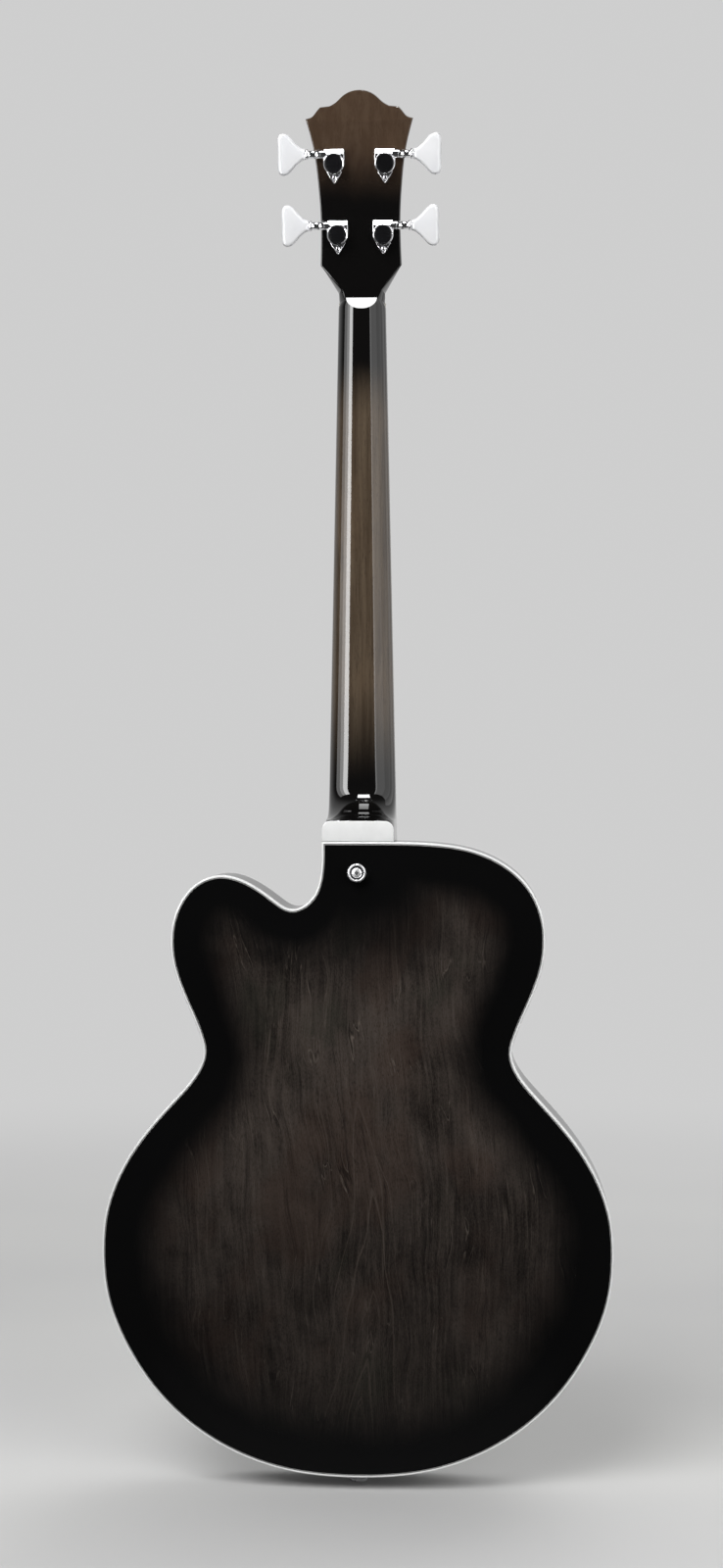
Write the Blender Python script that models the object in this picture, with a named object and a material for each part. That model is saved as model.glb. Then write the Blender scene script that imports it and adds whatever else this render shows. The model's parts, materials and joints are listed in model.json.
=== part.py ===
"""Hollow-body bass guitar with a single cutaway and a set neck.

Metres, +Z up along the neck. The back of the body faces -Y, the strings face +Y, and the
cutaway is on the -X side. The origin is the centre of the end strap button's outer face.
"""
import math

import bmesh
import bpy
import numpy as np
from mathutils import Matrix, Vector
from mathutils.bvhtree import BVHTree

# Gap between pieces that touch
GAP = 0.0003

# Body
BODY_LENGTH = 0.497
LOWER_BOUT = 0.401
WAIST = 0.2416
UPPER_BOUT = 0.294
RIM_DEPTH = 0.066
RIM_THICKNESS = 0.003
PLATE_THICKNESS = 0.004
ARCH_HEIGHT = 0.013
ARCH_REACH = 0.10
ARCH_CROWN = 0.66
BINDING_WIDTH = 0.0022
BINDING_HEIGHT = 0.0065
LINING_WIDTH = 0.0062
LINING_HEIGHT = 0.0137
HEEL_SIDE = 0.0282
CUTAWAY_DEPTH = 0.053
CUTAWAY_WIDTH = 0.0785
BLOCK_HALF_WIDTH = 0.044
NECK_BLOCK_DEPTH = 0.064
TAIL_BLOCK_HALF_WIDTH = 0.030
TAIL_BLOCK_DEPTH = 0.024
BUTTON_HEIGHT = 0.0102
BUTTON_RADIUS = 0.00735

# Neck and headstock
SCALE_LENGTH = 0.770
JOINT_FRET = 14
FRET_COUNT = 22
NECK_ANGLE = math.radians(3.0)
HEAD_ANGLE = math.radians(14.0)
BOARD_HEIGHT_AT_JOINT = 0.050
BOARD_THICKNESS = 0.006
BOARD_CROWN = 0.0013
FRET_HEIGHT = 0.0011
FRET_HALF_WIDTH = 0.0012
NUT_WIDTH = 0.038
JOINT_WIDTH = 0.0555
NUT_LENGTH = 0.005
SHAFT_DEPTH_AT_NUT = 0.0235
SHAFT_DEPTH_AT_HEEL = 0.0245
HEEL_CURVE_END = 0.044
HEEL_LENGTH = 0.017
HEEL_CAP_THICKNESS = 0.0035
HEEL_CAP_LENGTH = 0.0164
HEEL_CAP_CORNER = 0.007
TENON_HALF_WIDTH = 0.014
TENON_CLEARANCE = 0.0008
TENON_LENGTH = 0.047
HEAD_THICKNESS = 0.0105
FACET_OVER_NUT = 0.0068
FACET_LENGTH = 0.0092
VENEER_THICKNESS = 0.0015
HEAD_DROP = 0.00015
ROD_RADIUS = 0.0027
ROD_CHANNEL_DEPTH = 0.0095
ROD_LENGTH = 0.398
ROD_POCKET_DEPTH = 0.008

# Tuners: place on the headstock as (half spread, distance above the nut)
LOWER_POST = (0.018, 0.0602)
UPPER_POST = (0.020, 0.1152)
POST_RADIUS = 0.0039
POST_TOP = 0.0165
GEAR_TEETH = 16
GEAR_OVER_POST = 0.00055
WORM_PITCH_RADIUS = 0.002
TOOTH_HALF_HEIGHT = 0.00045
WORM_DEPTH = 0.004
GEAR_LOW = 0.0025
GEAR_HIGH = 0.0055
HOUSING_RADIUS = 0.00815
HOUSING_DEPTH = 0.009
HOUSING_OVER_WORM = 0.0041
KEY_START = 0.0223
KEY_LENGTH = 0.0222
KEY_HALF_HEIGHT = 0.01615
KEY_THICKNESS = 0.0068

# Strings from the bass side, +X, to the treble side
STRING_RADII = (0.0013, 0.00105, 0.00082, 0.00057)
NUT_SPREAD = 0.0286
BRIDGE_SPREAD = 0.057
STRING_OVER_NUT = 0.0016
STRING_OVER_BRIDGE = 0.0036
WINDING_TURNS = 2.25
WINDING_POINTS = 10
WINDING_START = 0.0062
WINDING_PITCH_GAP = 0.00045
WINDING_GAP = 0.0004

# Parts on the top, with places given as (x, distance above the body's bottom)
NECK_PICKUP_FROM_BRIDGE = 0.173
BRIDGE_PICKUP_FROM_BRIDGE = 0.083
PICKUP_LENGTH = 0.0705
PICKUP_WIDTH = 0.0375
PICKUP_DEPTH = 0.024
PICKUP_BELOW_STRINGS = 0.0045
RING_MARGIN = 0.010
RING_HEIGHT = 0.006
RING_CLEARANCE = 0.0008
BRIDGE_BASE_LENGTH = 0.116
BRIDGE_BASE_WIDTH = 0.017
STUD_SPREAD = 0.074
STUD_RADIUS = 0.0025
WHEEL_RADIUS = 0.009
WHEEL_THICKNESS = 0.003
WHEEL_OVER_BASE = 0.0025
SADDLE_LENGTH = 0.094
SADDLE_WIDTH = 0.013
SADDLE_HEIGHT = 0.0100
SADDLE_NOTCH = 0.0006
TAILPIECE_HALF_WIDTH = 0.040
TAILPIECE_WAY_TO_BRIDGE = 0.557
TAILPIECE_LENGTH = 0.014
TAILPIECE_HEIGHT = 0.009
TAILPIECE_BELOW_BOARD = 0.0086
TAIL_RAIL_HALF_WIDTH = 0.013
SOUND_HOLE_CENTRE = (0.088, 0.164)
SOUND_HOLE_LENGTH = 0.150
SOUND_HOLE_HALF_WIDTH = 0.0036
TONE_BAR_OFFSET = 0.058
KNOB_PLACES = ((-0.126, 0.100), (-0.156, 0.122), (-0.110, 0.066), (-0.139, 0.074))
KNOB_RADIUS = 0.0122
KNOB_HEIGHT = 0.0135
POT_RADIUS = 0.0085
POT_HEIGHT = 0.0095
POT_BUSHING_RADIUS = 0.0040
SWITCH_FROM_TOP = (-0.097, 0.095)
SWITCH_BARREL_RADIUS = 0.0058
JACK_HEIGHT = 0.172
JACK_BORE_RADIUS = 0.0033
JACK_BARREL_RADIUS = 0.0055

# Derived places
BODY_BOTTOM = BUTTON_HEIGHT + GAP
BODY_TOP = BODY_BOTTOM + BODY_LENGTH
EDGE_Y = RIM_DEPTH / 2
PLATE_EDGE = BINDING_WIDTH + GAP
RIM_Y = EDGE_Y - BINDING_HEIGHT - GAP
LINING_TIP = EDGE_Y - PLATE_THICKNESS - GAP - LINING_HEIGHT
TENON_HALF_DEPTH = LINING_TIP - TENON_CLEARANCE
POST_HOLE_RADIUS = POST_RADIUS + 0.0005
GEAR_PITCH_RADIUS = POST_RADIUS + GEAR_OVER_POST
WORM_RISE = GEAR_PITCH_RADIUS + WORM_PITCH_RADIUS + TOOTH_HALF_HEIGHT
SWITCH_PLACE = (SWITCH_FROM_TOP[0], BODY_LENGTH - SWITCH_FROM_TOP[1])
SPINE_LOW = BODY_BOTTOM + 0.332 * BODY_LENGTH
SPINE_HIGH = BODY_BOTTOM + 0.755 * BODY_LENGTH
JOINT_FROM_NUT = SCALE_LENGTH * (1 - 2 ** (-JOINT_FRET / 12))
NUT_Z = BODY_TOP + JOINT_FROM_NUT * math.cos(NECK_ANGLE)
BRIDGE_Z = NUT_Z - SCALE_LENGTH * math.cos(NECK_ANGLE)
TAILPIECE_Z = BODY_BOTTOM + TAILPIECE_WAY_TO_BRIDGE * (BRIDGE_Z - BODY_BOTTOM)
WORM_LEAD = 2 * math.pi * GEAR_PITCH_RADIUS / GEAR_TEETH


def clear_scene():
    for old in list(bpy.data.objects):
        bpy.data.objects.remove(old, do_unlink=True)


def material(name, colour, roughness, metallic=0.0):
    """Principled material for one sub-part."""
    mat = bpy.data.materials.new(name)
    mat.use_nodes = True
    shader = mat.node_tree.nodes["Principled BSDF"]
    shader.inputs["Base Color"].default_value = (*colour, 1.0)
    shader.inputs["Roughness"].default_value = roughness
    shader.inputs["Metallic"].default_value = metallic
    return mat


LOOKS = {
    "lacquer": ((0.02, 0.013, 0.010), 0.12, 0.0),
    "spruce": ((0.30, 0.15, 0.06), 0.6, 0.0),
    "neck_wood": ((0.055, 0.028, 0.016), 0.15, 0.0),
    "rosewood": ((0.045, 0.022, 0.015), 0.5, 0.0),
    "white_plastic": ((0.85, 0.85, 0.82), 0.25, 0.0),
    "black_plastic": ((0.012, 0.012, 0.013), 0.3, 0.0),
    "bone": ((0.80, 0.77, 0.68), 0.4, 0.0),
    "chrome": ((0.80, 0.80, 0.82), 0.1, 1.0),
    "steel": ((0.42, 0.42, 0.43), 0.35, 1.0),
}


def add_object(name, mesh, look, sharp=35.0):
    """Puts a mesh in the scene under the sub-part's own name and material."""
    mesh.materials.clear()
    mesh.materials.append(material(name, *LOOKS[look]))
    mesh.shade_smooth()
    mesh.set_sharp_from_angle(angle=math.radians(sharp))
    thing = bpy.data.objects.new(name, mesh)
    bpy.context.collection.objects.link(thing)
    return thing


def closed_mesh(name, points, faces):
    """Mesh from points and faces, with its normals pointing out."""
    shape = bmesh.new()
    verts = [shape.verts.new(point) for point in points]
    for face in faces:
        shape.faces.new([verts[i] for i in face])
    shape.normal_update()
    wide = [face for face in shape.faces if len(face.verts) > 4]
    bmesh.ops.triangulate(shape, faces=wide, ngon_method="BEAUTY")
    bmesh.ops.recalc_face_normals(shape, faces=shape.faces[:])
    if shape.calc_volume(signed=True) < 0:
        bmesh.ops.reverse_faces(shape, faces=shape.faces[:])
    mesh = bpy.data.meshes.new(name)
    shape.to_mesh(mesh)
    shape.free()
    return mesh


def loft(name, rings, look, closed=False):
    """Skin through rings of equal length. closed joins the last ring to the first."""
    count = len(rings[0])
    points = [point for ring in rings for point in ring]
    faces = []
    last = len(rings) if closed else len(rings) - 1
    for i in range(last):
        here = i * count
        after = ((i + 1) % len(rings)) * count
        for j in range(count):
            k = (j + 1) % count
            faces.append((here + j, here + k, after + k, after + j))
    if not closed:
        faces.append(tuple(range(count)))
        faces.append(tuple(range((len(rings) - 1) * count, len(rings) * count)))
    return add_object(name, closed_mesh(name, points, faces), look)


def prism(name, outline, place, low, high, look):
    """Outline in a plane, extruded from low to high along the plane's normal."""
    rings = [[place(a, b, level) for a, b in outline] for level in (low, high)]
    return loft(name, rings, look)


def box(name, low, high, look):
    outline = ((low[0], low[1]), (high[0], low[1]), (high[0], high[1]), (low[0], high[1]))
    return prism(name, outline, lambda a, b, level: (a, b, level), low[2], high[2], look)


def turned(name, profile, place, look, segments=20, hollow=False):
    """Profile of (radius, distance along the axis) spun about the local axis."""
    angles = [2 * math.pi * i / segments for i in range(segments)]
    if hollow:
        rings = [
            [place(r * math.cos(t), r * math.sin(t), level) for t in angles]
            for r, level in profile
        ]
        return loft(name, rings, look, closed=True)
    inner = [(r, level) for r, level in profile if r > 0]
    rings = [
        [place(r * math.cos(t), r * math.sin(t), level) for t in angles]
        for r, level in inner
    ]
    return loft(name, rings, look)


def circle(radius, count, centre=(0.0, 0.0), start=0.0, turn=2 * math.pi):
    steps = count if abs(turn) > 6.28 else count - 1
    return [
        (
            centre[0] + radius * math.cos(start + turn * i / steps),
            centre[1] + radius * math.sin(start + turn * i / steps),
        )
        for i in range(count)
    ]


def apply_boolean(target, cutter, operation, keep_cutter=False):
    """Exact Boolean between two closed objects, applied to the target's mesh."""
    change = target.modifiers.new(operation.lower(), "BOOLEAN")
    change.operation = operation
    change.solver = "EXACT"
    change.object = cutter
    bpy.context.view_layer.update()
    seen = target.evaluated_get(bpy.context.evaluated_depsgraph_get())
    mesh = bpy.data.meshes.new_from_object(seen)
    target.modifiers.clear()
    used = target.data.materials[0]
    target.data = mesh
    mesh.materials.clear()
    mesh.materials.append(used)
    mesh.shade_smooth()
    mesh.set_sharp_from_angle(angle=math.radians(35.0))
    if not keep_cutter:
        bpy.data.objects.remove(cutter, do_unlink=True)
    return target


def cut(target, cutter, keep_cutter=False):
    return apply_boolean(target, cutter, "DIFFERENCE", keep_cutter)


def join(target, other):
    return apply_boolean(target, other, "UNION")


def common(target, other):
    return apply_boolean(target, other, "INTERSECT")


def plan(a, b, level):
    """Outline in the body's plan, x and z, with its level along +Y."""
    return (a, level, b)


# The body's outline

def spline(points, steps):
    """Natural cubic through the points, by chord length, with steps on each span."""
    points = np.array(points)
    knots = np.concatenate([[0.0], np.cumsum(np.linalg.norm(np.diff(points, axis=0), axis=1))])
    count = len(points)
    matrix = np.eye(count)
    right = np.zeros((count, 2))
    widths = np.diff(knots)
    for i in range(1, count - 1):
        matrix[i, i - 1] = widths[i - 1]
        matrix[i, i] = 2 * (widths[i - 1] + widths[i])
        matrix[i, i + 1] = widths[i]
        rise = (points[i + 1] - points[i]) / widths[i]
        right[i] = 6 * (rise - (points[i] - points[i - 1]) / widths[i - 1])
    bend = np.linalg.solve(matrix, right)
    curve = []
    for i in range(count - 1):
        h = widths[i]
        for step in range(steps):
            u = step / steps
            near, far = (1 - u) * h, u * h
            term = bend[i] * (near ** 3 - h * h * near) + bend[i + 1] * (far ** 3 - h * h * far)
            curve.append(points[i] * (1 - u) + points[i + 1] * u + term / (6 * h))
    curve.append(points[-1])
    return np.array(curve)


def body_outline(turn=math.radians(20), reach=0.050):
    """Closed plan outline from the heel corner, round the bass side to the cutaway.

    Samples lie closer together where the outline bends more.
    """
    lower, waist, upper = LOWER_BOUT / 2, WAIST / 2, UPPER_BOUT / 2
    half = [
        (0.20 * lower, 0.0046), (0.40 * lower, 0.0242), (0.575 * lower, 0.0583),
        (0.721 * lower, 0.1036), (0.84 * lower, 0.1594), (0.925 * lower, 0.2183),
        (0.981 * lower, 0.2797), (1.0 * lower, 0.3461), (0.9915 * lower, 0.4045),
        (0.96 * lower, 0.4507), (0.888 * lower, 0.5080), (0.7766 * lower, 0.5662),
        (1.134 * waist, 0.6077), (1.031 * waist, 0.6419), (1.0 * waist, 0.6690),
        (1.0265 * waist, 0.6962), (0.9115 * upper, 0.7445), (0.9694 * upper, 0.7879),
        (1.0 * upper, 0.8471),
    ]
    right = [(x, z * BODY_LENGTH) for x, z in half]
    shoulder = [
        (0.9687 * upper, 0.8988), (0.8973 * upper, 0.9354), (0.7422 * upper, 0.9724),
        (0.5762 * upper, 0.9907), (0.34 * upper, 0.9990), (0.0, 1.0),
    ]
    right += [(x, z * BODY_LENGTH) for x, z in shoulder]
    left = [(-x, z) for x, z in right[:len(half)]]
    horn = [(-0.9558 * upper, 0.8996), (-0.8456 * upper, 0.9366)]
    left += [(x, z * BODY_LENGTH) for x, z in horn]
    # The cutaway runs from the horn's tip to the heel corner
    tip = (-HEEL_SIDE - CUTAWAY_WIDTH, BODY_LENGTH - CUTAWAY_DEPTH / 2)
    throat = BODY_LENGTH - CUTAWAY_DEPTH
    left += [
        tip,
        (-HEEL_SIDE - 0.754 * CUTAWAY_WIDTH, tip[1] - 0.0050),
        (-HEEL_SIDE - 0.494 * CUTAWAY_WIDTH, throat + 0.0085),
        (-HEEL_SIDE - 0.290 * CUTAWAY_WIDTH, throat + 0.0002),
        (-HEEL_SIDE - 0.118 * CUTAWAY_WIDTH, throat + 0.0070),
        (-HEEL_SIDE - 0.029 * CUTAWAY_WIDTH, throat + 0.0205),
        (-HEEL_SIDE - 0.0003, throat + 0.0370),
        (-HEEL_SIDE, BODY_LENGTH),
    ]
    way = [(-HEEL_SIDE, BODY_LENGTH)] + right[::-1] + [(0.0, 0.0)] + left
    dense = spline(way, 40) + np.array([0.0, BODY_BOTTOM])
    steps = np.diff(dense, axis=0)
    lengths = np.linalg.norm(steps, axis=1)
    headings = np.unwrap(np.arctan2(steps[:, 1], steps[:, 0]))
    bends = np.abs(np.diff(headings, prepend=headings[0]))
    measure = np.concatenate([[0.0], np.cumsum(bends / turn + lengths / reach)])
    count = int(math.ceil(measure[-1]))
    marks = np.linspace(0.0, measure[-1], count + 1)[:-1]
    xs = np.interp(marks, measure, dense[:, 0])
    zs = np.interp(marks, measure, dense[:, 1])
    return np.stack([xs, zs], axis=1)


def inset(outline, distance):
    """Outline moved inward by a distance, with mitred corners."""
    before = outline - np.roll(outline, 1, axis=0)
    after = np.roll(outline, -1, axis=0) - outline
    before /= np.linalg.norm(before, axis=1)[:, None]
    after /= np.linalg.norm(after, axis=1)[:, None]
    # The outline runs clockwise, so the inside lies to the right of each edge
    first = np.stack([before[:, 1], -before[:, 0]], axis=1)
    second = np.stack([after[:, 1], -after[:, 0]], axis=1)
    middle = first + second
    scale = distance * 2 / np.sum(middle * middle, axis=1)
    return outline + middle * scale[:, None]


def edge_band(name, outline, section, look):
    """Section of (inset, y) points swept all the way round the outline."""
    rings = [
        [(x, level, z) for x, z in inset(outline, depth)] for depth, level in section
    ]
    return loft(name, rings, look, closed=True)


ARCH_STEPS = (0.10, 0.27, 0.52, 0.80)
SPINE_POINTS = 6


def arch(points, outline):
    """Rise of an arched plate at points in plan, as a share of its full height.

    It grows with a smooth distance from the whole outline, so the arch has no creases.
    """
    edge = np.roll(outline, -1, axis=0) - outline
    lengths = np.linalg.norm(edge, axis=1)
    middles = outline + edge / 2
    gaps = np.linalg.norm(points[:, None, :] - middles[None, :, :], axis=2)
    smooth = np.sqrt(2 / np.sum(lengths / gaps ** 3, axis=1))
    share = np.minimum(1.0, (1 - np.exp(-smooth / ARCH_REACH)) / ARCH_CROWN)
    return (1 - np.cos(math.pi * share ** 0.85)) / 2


def arch_ring(edge, share):
    """Ring between the plate's edge and the spine line down the body's middle."""
    spine = np.stack([np.zeros(len(edge)), np.clip(edge[:, 1], SPINE_LOW, SPINE_HIGH)], axis=1)
    return edge + (spine - edge) * share


def arched_slab(name, outline, side, outer, inner, look, brim=False, flat_inner=False):
    """Arched solid between two levels, given as lifts from the plate's face.

    A brim carries the face on, level, to just outside the body's own outline.
    """
    edge = inset(outline, PLATE_EDGE)
    count = len(edge)
    rings = [inset(outline, -2 * GAP), edge] if brim else [edge]
    rises = [np.zeros(count)] * len(rings)
    for share in ARCH_STEPS:
        rings.append(arch_ring(edge, share))
        rises.append(arch(rings[-1], outline))
    spine_z = np.linspace(SPINE_LOW, SPINE_HIGH, SPINE_POINTS)
    spine = np.stack([np.zeros(SPINE_POINTS), spine_z], axis=1)
    places = np.concatenate(rings + [spine])
    rise = ARCH_HEIGHT * np.concatenate(rises + [arch(spine, outline)])
    upper = EDGE_Y + outer + rise
    lower = np.full(len(rise), inner) if flat_inner else EDGE_Y + inner + rise
    points = [
        (x, side * y, z) for level in (upper, lower) for (x, z), y in zip(places, level)
    ]
    # Each ring point belongs to the nearest point of the spine. The faces are triangles, so
    # that slabs with different lifts stay parallel
    spacing = (SPINE_HIGH - SPINE_LOW) / (SPINE_POINTS - 1)
    nearest = np.clip(np.rint((edge[:, 1] - SPINE_LOW) / spacing), 0, SPINE_POINTS - 1).astype(int)
    half = len(rise)
    last_ring = (len(rings) - 1) * count
    first_spine = last_ring + count
    faces = [(j, (j + 1) % count, half + (j + 1) % count, half + j) for j in range(count)]
    for base in (0, half):
        for j in range(count):
            k = (j + 1) % count
            for step in range(len(rings) - 1):
                row = base + step * count
                faces.append((row + j, row + k, row + count + k))
                faces.append((row + j, row + count + k, row + count + j))
            inner_row = base + last_ring
            centre = base + first_spine
            faces.append((inner_row + j, inner_row + k, centre + int(nearest[j])))
            way = 1 if nearest[k] > nearest[j] else -1
            for near in range(int(nearest[j]), int(nearest[k]), way):
                faces.append((inner_row + k, centre + near, centre + near + way))
    return add_object(name, closed_mesh(name, points, faces), look)


def turn_about(thing, point):
    """Moves an object's origin to a point on the axis that it moves about."""
    thing.data.transform(Matrix.Translation(-Vector(point)))
    thing.location = point
    return thing


def surface_of(thing):
    mesh = thing.data
    points = [vertex.co.copy() for vertex in mesh.vertices]
    faces = [tuple(face.vertices) for face in mesh.polygons]
    return BVHTree.FromPolygons(points, faces)


def seat_on_top(top_surface, spot):
    """Point and outward normal of the top's face at a place given from the body's bottom."""
    start = Vector((spot[0], 0.2, BODY_BOTTOM + spot[1]))
    place, normal, _, _ = top_surface.ray_cast(start, Vector((0, -1, 0)))
    return place, normal


def frame_at(origin, axis, side=None):
    """Local frame whose third axis is the given one."""
    axis = Vector(axis).normalized()
    if side is None:
        side = Vector((1, 0, 0))
    first = (side - axis * side.dot(axis)).normalized()
    second = axis.cross(first)
    origin = Vector(origin)
    return lambda a, b, c: origin + first * a + second * b + axis * c


# The neck's own measures

def board_y(z):
    """Height of the fingerboard's face, at its middle, above the body's mid plane."""
    return BOARD_HEIGHT_AT_JOINT + (BODY_TOP - z) * math.tan(NECK_ANGLE)


def from_nut(distance, height=0.0):
    """y and z of a point along the fingerboard and above its face."""
    z = NUT_Z - distance * math.cos(NECK_ANGLE) + height * math.sin(NECK_ANGLE)
    y = board_y(NUT_Z) + distance * math.sin(NECK_ANGLE) + height * math.cos(NECK_ANGLE)
    return y, z


def half_width(z):
    """Half width of neck and fingerboard at a height."""
    share = (NUT_Z - z) / (NUT_Z - BODY_TOP)
    return (NUT_WIDTH + (JOINT_WIDTH - NUT_WIDTH) * share) / 2


def head_point(u, v, h):
    """Point on the headstock: across, up from the nut, and out from the wood's front."""
    lean = NECK_ANGLE + HEAD_ANGLE
    base = board_y(NUT_Z) - BOARD_THICKNESS - HEAD_DROP
    y = base - v * math.sin(lean) + h * math.cos(lean)
    z = NUT_Z + v * math.cos(lean) + h * math.sin(lean)
    return (u, y, z)


# Body pieces

def make_plates(outline):
    back = arched_slab("back_plate", outline, -1, 0.0, -PLATE_THICKNESS, "lacquer")
    top = arched_slab("top_plate", outline, 1, 0.0, -PLATE_THICKNESS, "lacquer")
    return back, top


def make_edges(outline):
    """Sides, bindings and the linings that the plates are glued to."""
    rim = edge_band(
        "body_sides", outline,
        ((0, -RIM_Y), (0, RIM_Y), (RIM_THICKNESS, RIM_Y), (RIM_THICKNESS, -RIM_Y)), "lacquer",
    )
    seat = EDGE_Y - PLATE_THICKNESS - GAP
    near = RIM_THICKNESS + GAP
    for side, word in ((-1, "back"), (1, "top")):
        low, high = side * (EDGE_Y - BINDING_HEIGHT), side * EDGE_Y
        edge_band(
            word + "_binding", outline,
            ((0, low), (0, high), (BINDING_WIDTH, high), (BINDING_WIDTH, low)), "white_plastic",
        )
        edge_band(
            word + "_lining", outline,
            (
                (near, side * seat), (near + LINING_WIDTH, side * seat),
                (near, side * (seat - LINING_HEIGHT)),
            ), "spruce",
        )
    return rim


def make_blocks(outline):
    """End blocks, shaped to the sides and notched for the linings."""
    reach = EDGE_Y - PLATE_THICKNESS - 2 * GAP
    near = RIM_THICKNESS + GAP
    seat = EDGE_Y
    blocks = []
    spots = (
        ("neck_block", (near - HEEL_SIDE, BODY_TOP - NECK_BLOCK_DEPTH), (BLOCK_HALF_WIDTH, BODY_TOP)),
        ("tail_block", (-TAIL_BLOCK_HALF_WIDTH, 0.0),
         (TAIL_BLOCK_HALF_WIDTH, BODY_BOTTOM + TAIL_BLOCK_DEPTH)),
    )
    for name, low, high in spots:
        block = box(name, (low[0], -reach, low[1]), (high[0], reach, high[1]), "spruce")
        inside = prism("inside", inset(outline, near), plan, -EDGE_Y, EDGE_Y, "spruce")
        common(block, inside)
        for side in (-1, 1):
            notch = edge_band(
                "notch", outline,
                (
                    (near - 0.001, side * seat), (near + LINING_WIDTH + 2 * GAP, side * seat),
                    (near + LINING_WIDTH + 2 * GAP, side * (reach - GAP)),
                    (near + GAP, side * (reach - LINING_HEIGHT - 2 * GAP)),
                    (near - 0.001, side * (reach - LINING_HEIGHT - 2 * GAP)),
                ), "spruce",
            )
            cut(block, notch)
        blocks.append(block)
    return blocks


def sound_hole_outline(side):
    """Outline of one sound hole: a slim S with a round eye at each end."""
    centre_x, centre_z = SOUND_HOLE_CENTRE
    samples = 15
    left, right = [], []
    for i in range(samples):
        t = i / (samples - 1)
        swing = 0.0105 * math.cos(math.pi * t)
        eye = sum(0.0034 * math.exp(-((t - at) / 0.055) ** 2) for at in (0.04, 0.96))
        end = min(1.0, 14 * t + 0.25, 14 * (1 - t) + 0.25)
        half = (SOUND_HOLE_HALF_WIDTH + eye) * end
        x = centre_x - swing
        z = BODY_BOTTOM + centre_z + SOUND_HOLE_LENGTH * (0.5 - t)
        left.append((side * (x - half), z))
        right.append((side * (x + half), z))
    return left + right[::-1]


def cut_sound_holes(top):
    for side in (-1, 1):
        cut(top, prism("hole", sound_hole_outline(side), plan, 0.0, 0.09, "lacquer"))


def make_tone_bars(under_top):
    """Bars along the inside of the top, shaped to its arch."""
    for side, word in ((1, "bass"), (-1, "treble")):
        low_z = BODY_BOTTOM + 0.16 * BODY_LENGTH
        high_z = BODY_BOTTOM + 0.84 * BODY_LENGTH
        centre = side * TONE_BAR_OFFSET
        rings = []
        for share in (0.0, 0.15, 0.5, 0.85, 1.0):
            z = low_z + (high_z - low_z) * share
            depth = 0.031 if 0.1 < share < 0.9 else 0.0355
            ring = ((centre - 0.004, depth), (centre + 0.004, depth),
                    (centre + 0.004, 0.06), (centre - 0.004, 0.06))
            rings.append([(x, y, z) for x, y in ring])
        bar = loft(word + "_tone_bar", rings, "spruce")
        cut(bar, under_top, keep_cutter=True)


# Neck pieces

def neck_section(z, half, top, back, power):
    """Half-round section of the neck at a height, squarer with a higher power."""
    ring = []
    steps = 12
    for i in range(steps + 1):
        angle = math.pi * i / steps
        across, deep = math.cos(angle), math.sin(angle)
        x = half * math.copysign(abs(across) ** (2 / power), across)
        y = top - (top - back) * deep ** (2 / power)
        ring.append((x, y, z))
    return ring


def shaft_back(z):
    share = min(1.0, (NUT_Z - z) / (NUT_Z - BODY_TOP - HEEL_CURVE_END))
    depth = SHAFT_DEPTH_AT_NUT + (SHAFT_DEPTH_AT_HEEL - SHAFT_DEPTH_AT_NUT) * share
    return board_y(z) - depth


def board_under(z):
    return board_y(z) - BOARD_THICKNESS


HEAD_HALF = (
    (0.0180, 0.0), (0.0185, 0.0120), (0.0322, 0.0354), (0.0316, 0.077), (0.0331, 0.0996),
    (0.03635, 0.1259), (0.0422, 0.1488), (0.0372, 0.1504), (0.0338, 0.1542), (0.0307, 0.1576),
    (0.0232, 0.1584), (0.0184, 0.1612), (0.0129, 0.1661), (0.0055, 0.1698),
)


def head_outline(low=0.0, margin=0.0):
    """Crown-shaped outline of the headstock."""
    half = [(u - margin, v - margin * (v > 0.14)) for u, v in HEAD_HALF if v >= low]
    if low > 0.0:
        first, second = HEAD_HALF[1], HEAD_HALF[2]
        share = (low - first[1]) / (second[1] - first[1])
        half.insert(0, (first[0] + (second[0] - first[0]) * share - margin, low))
    return half + [(-u, v) for u, v in reversed(half)]


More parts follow.
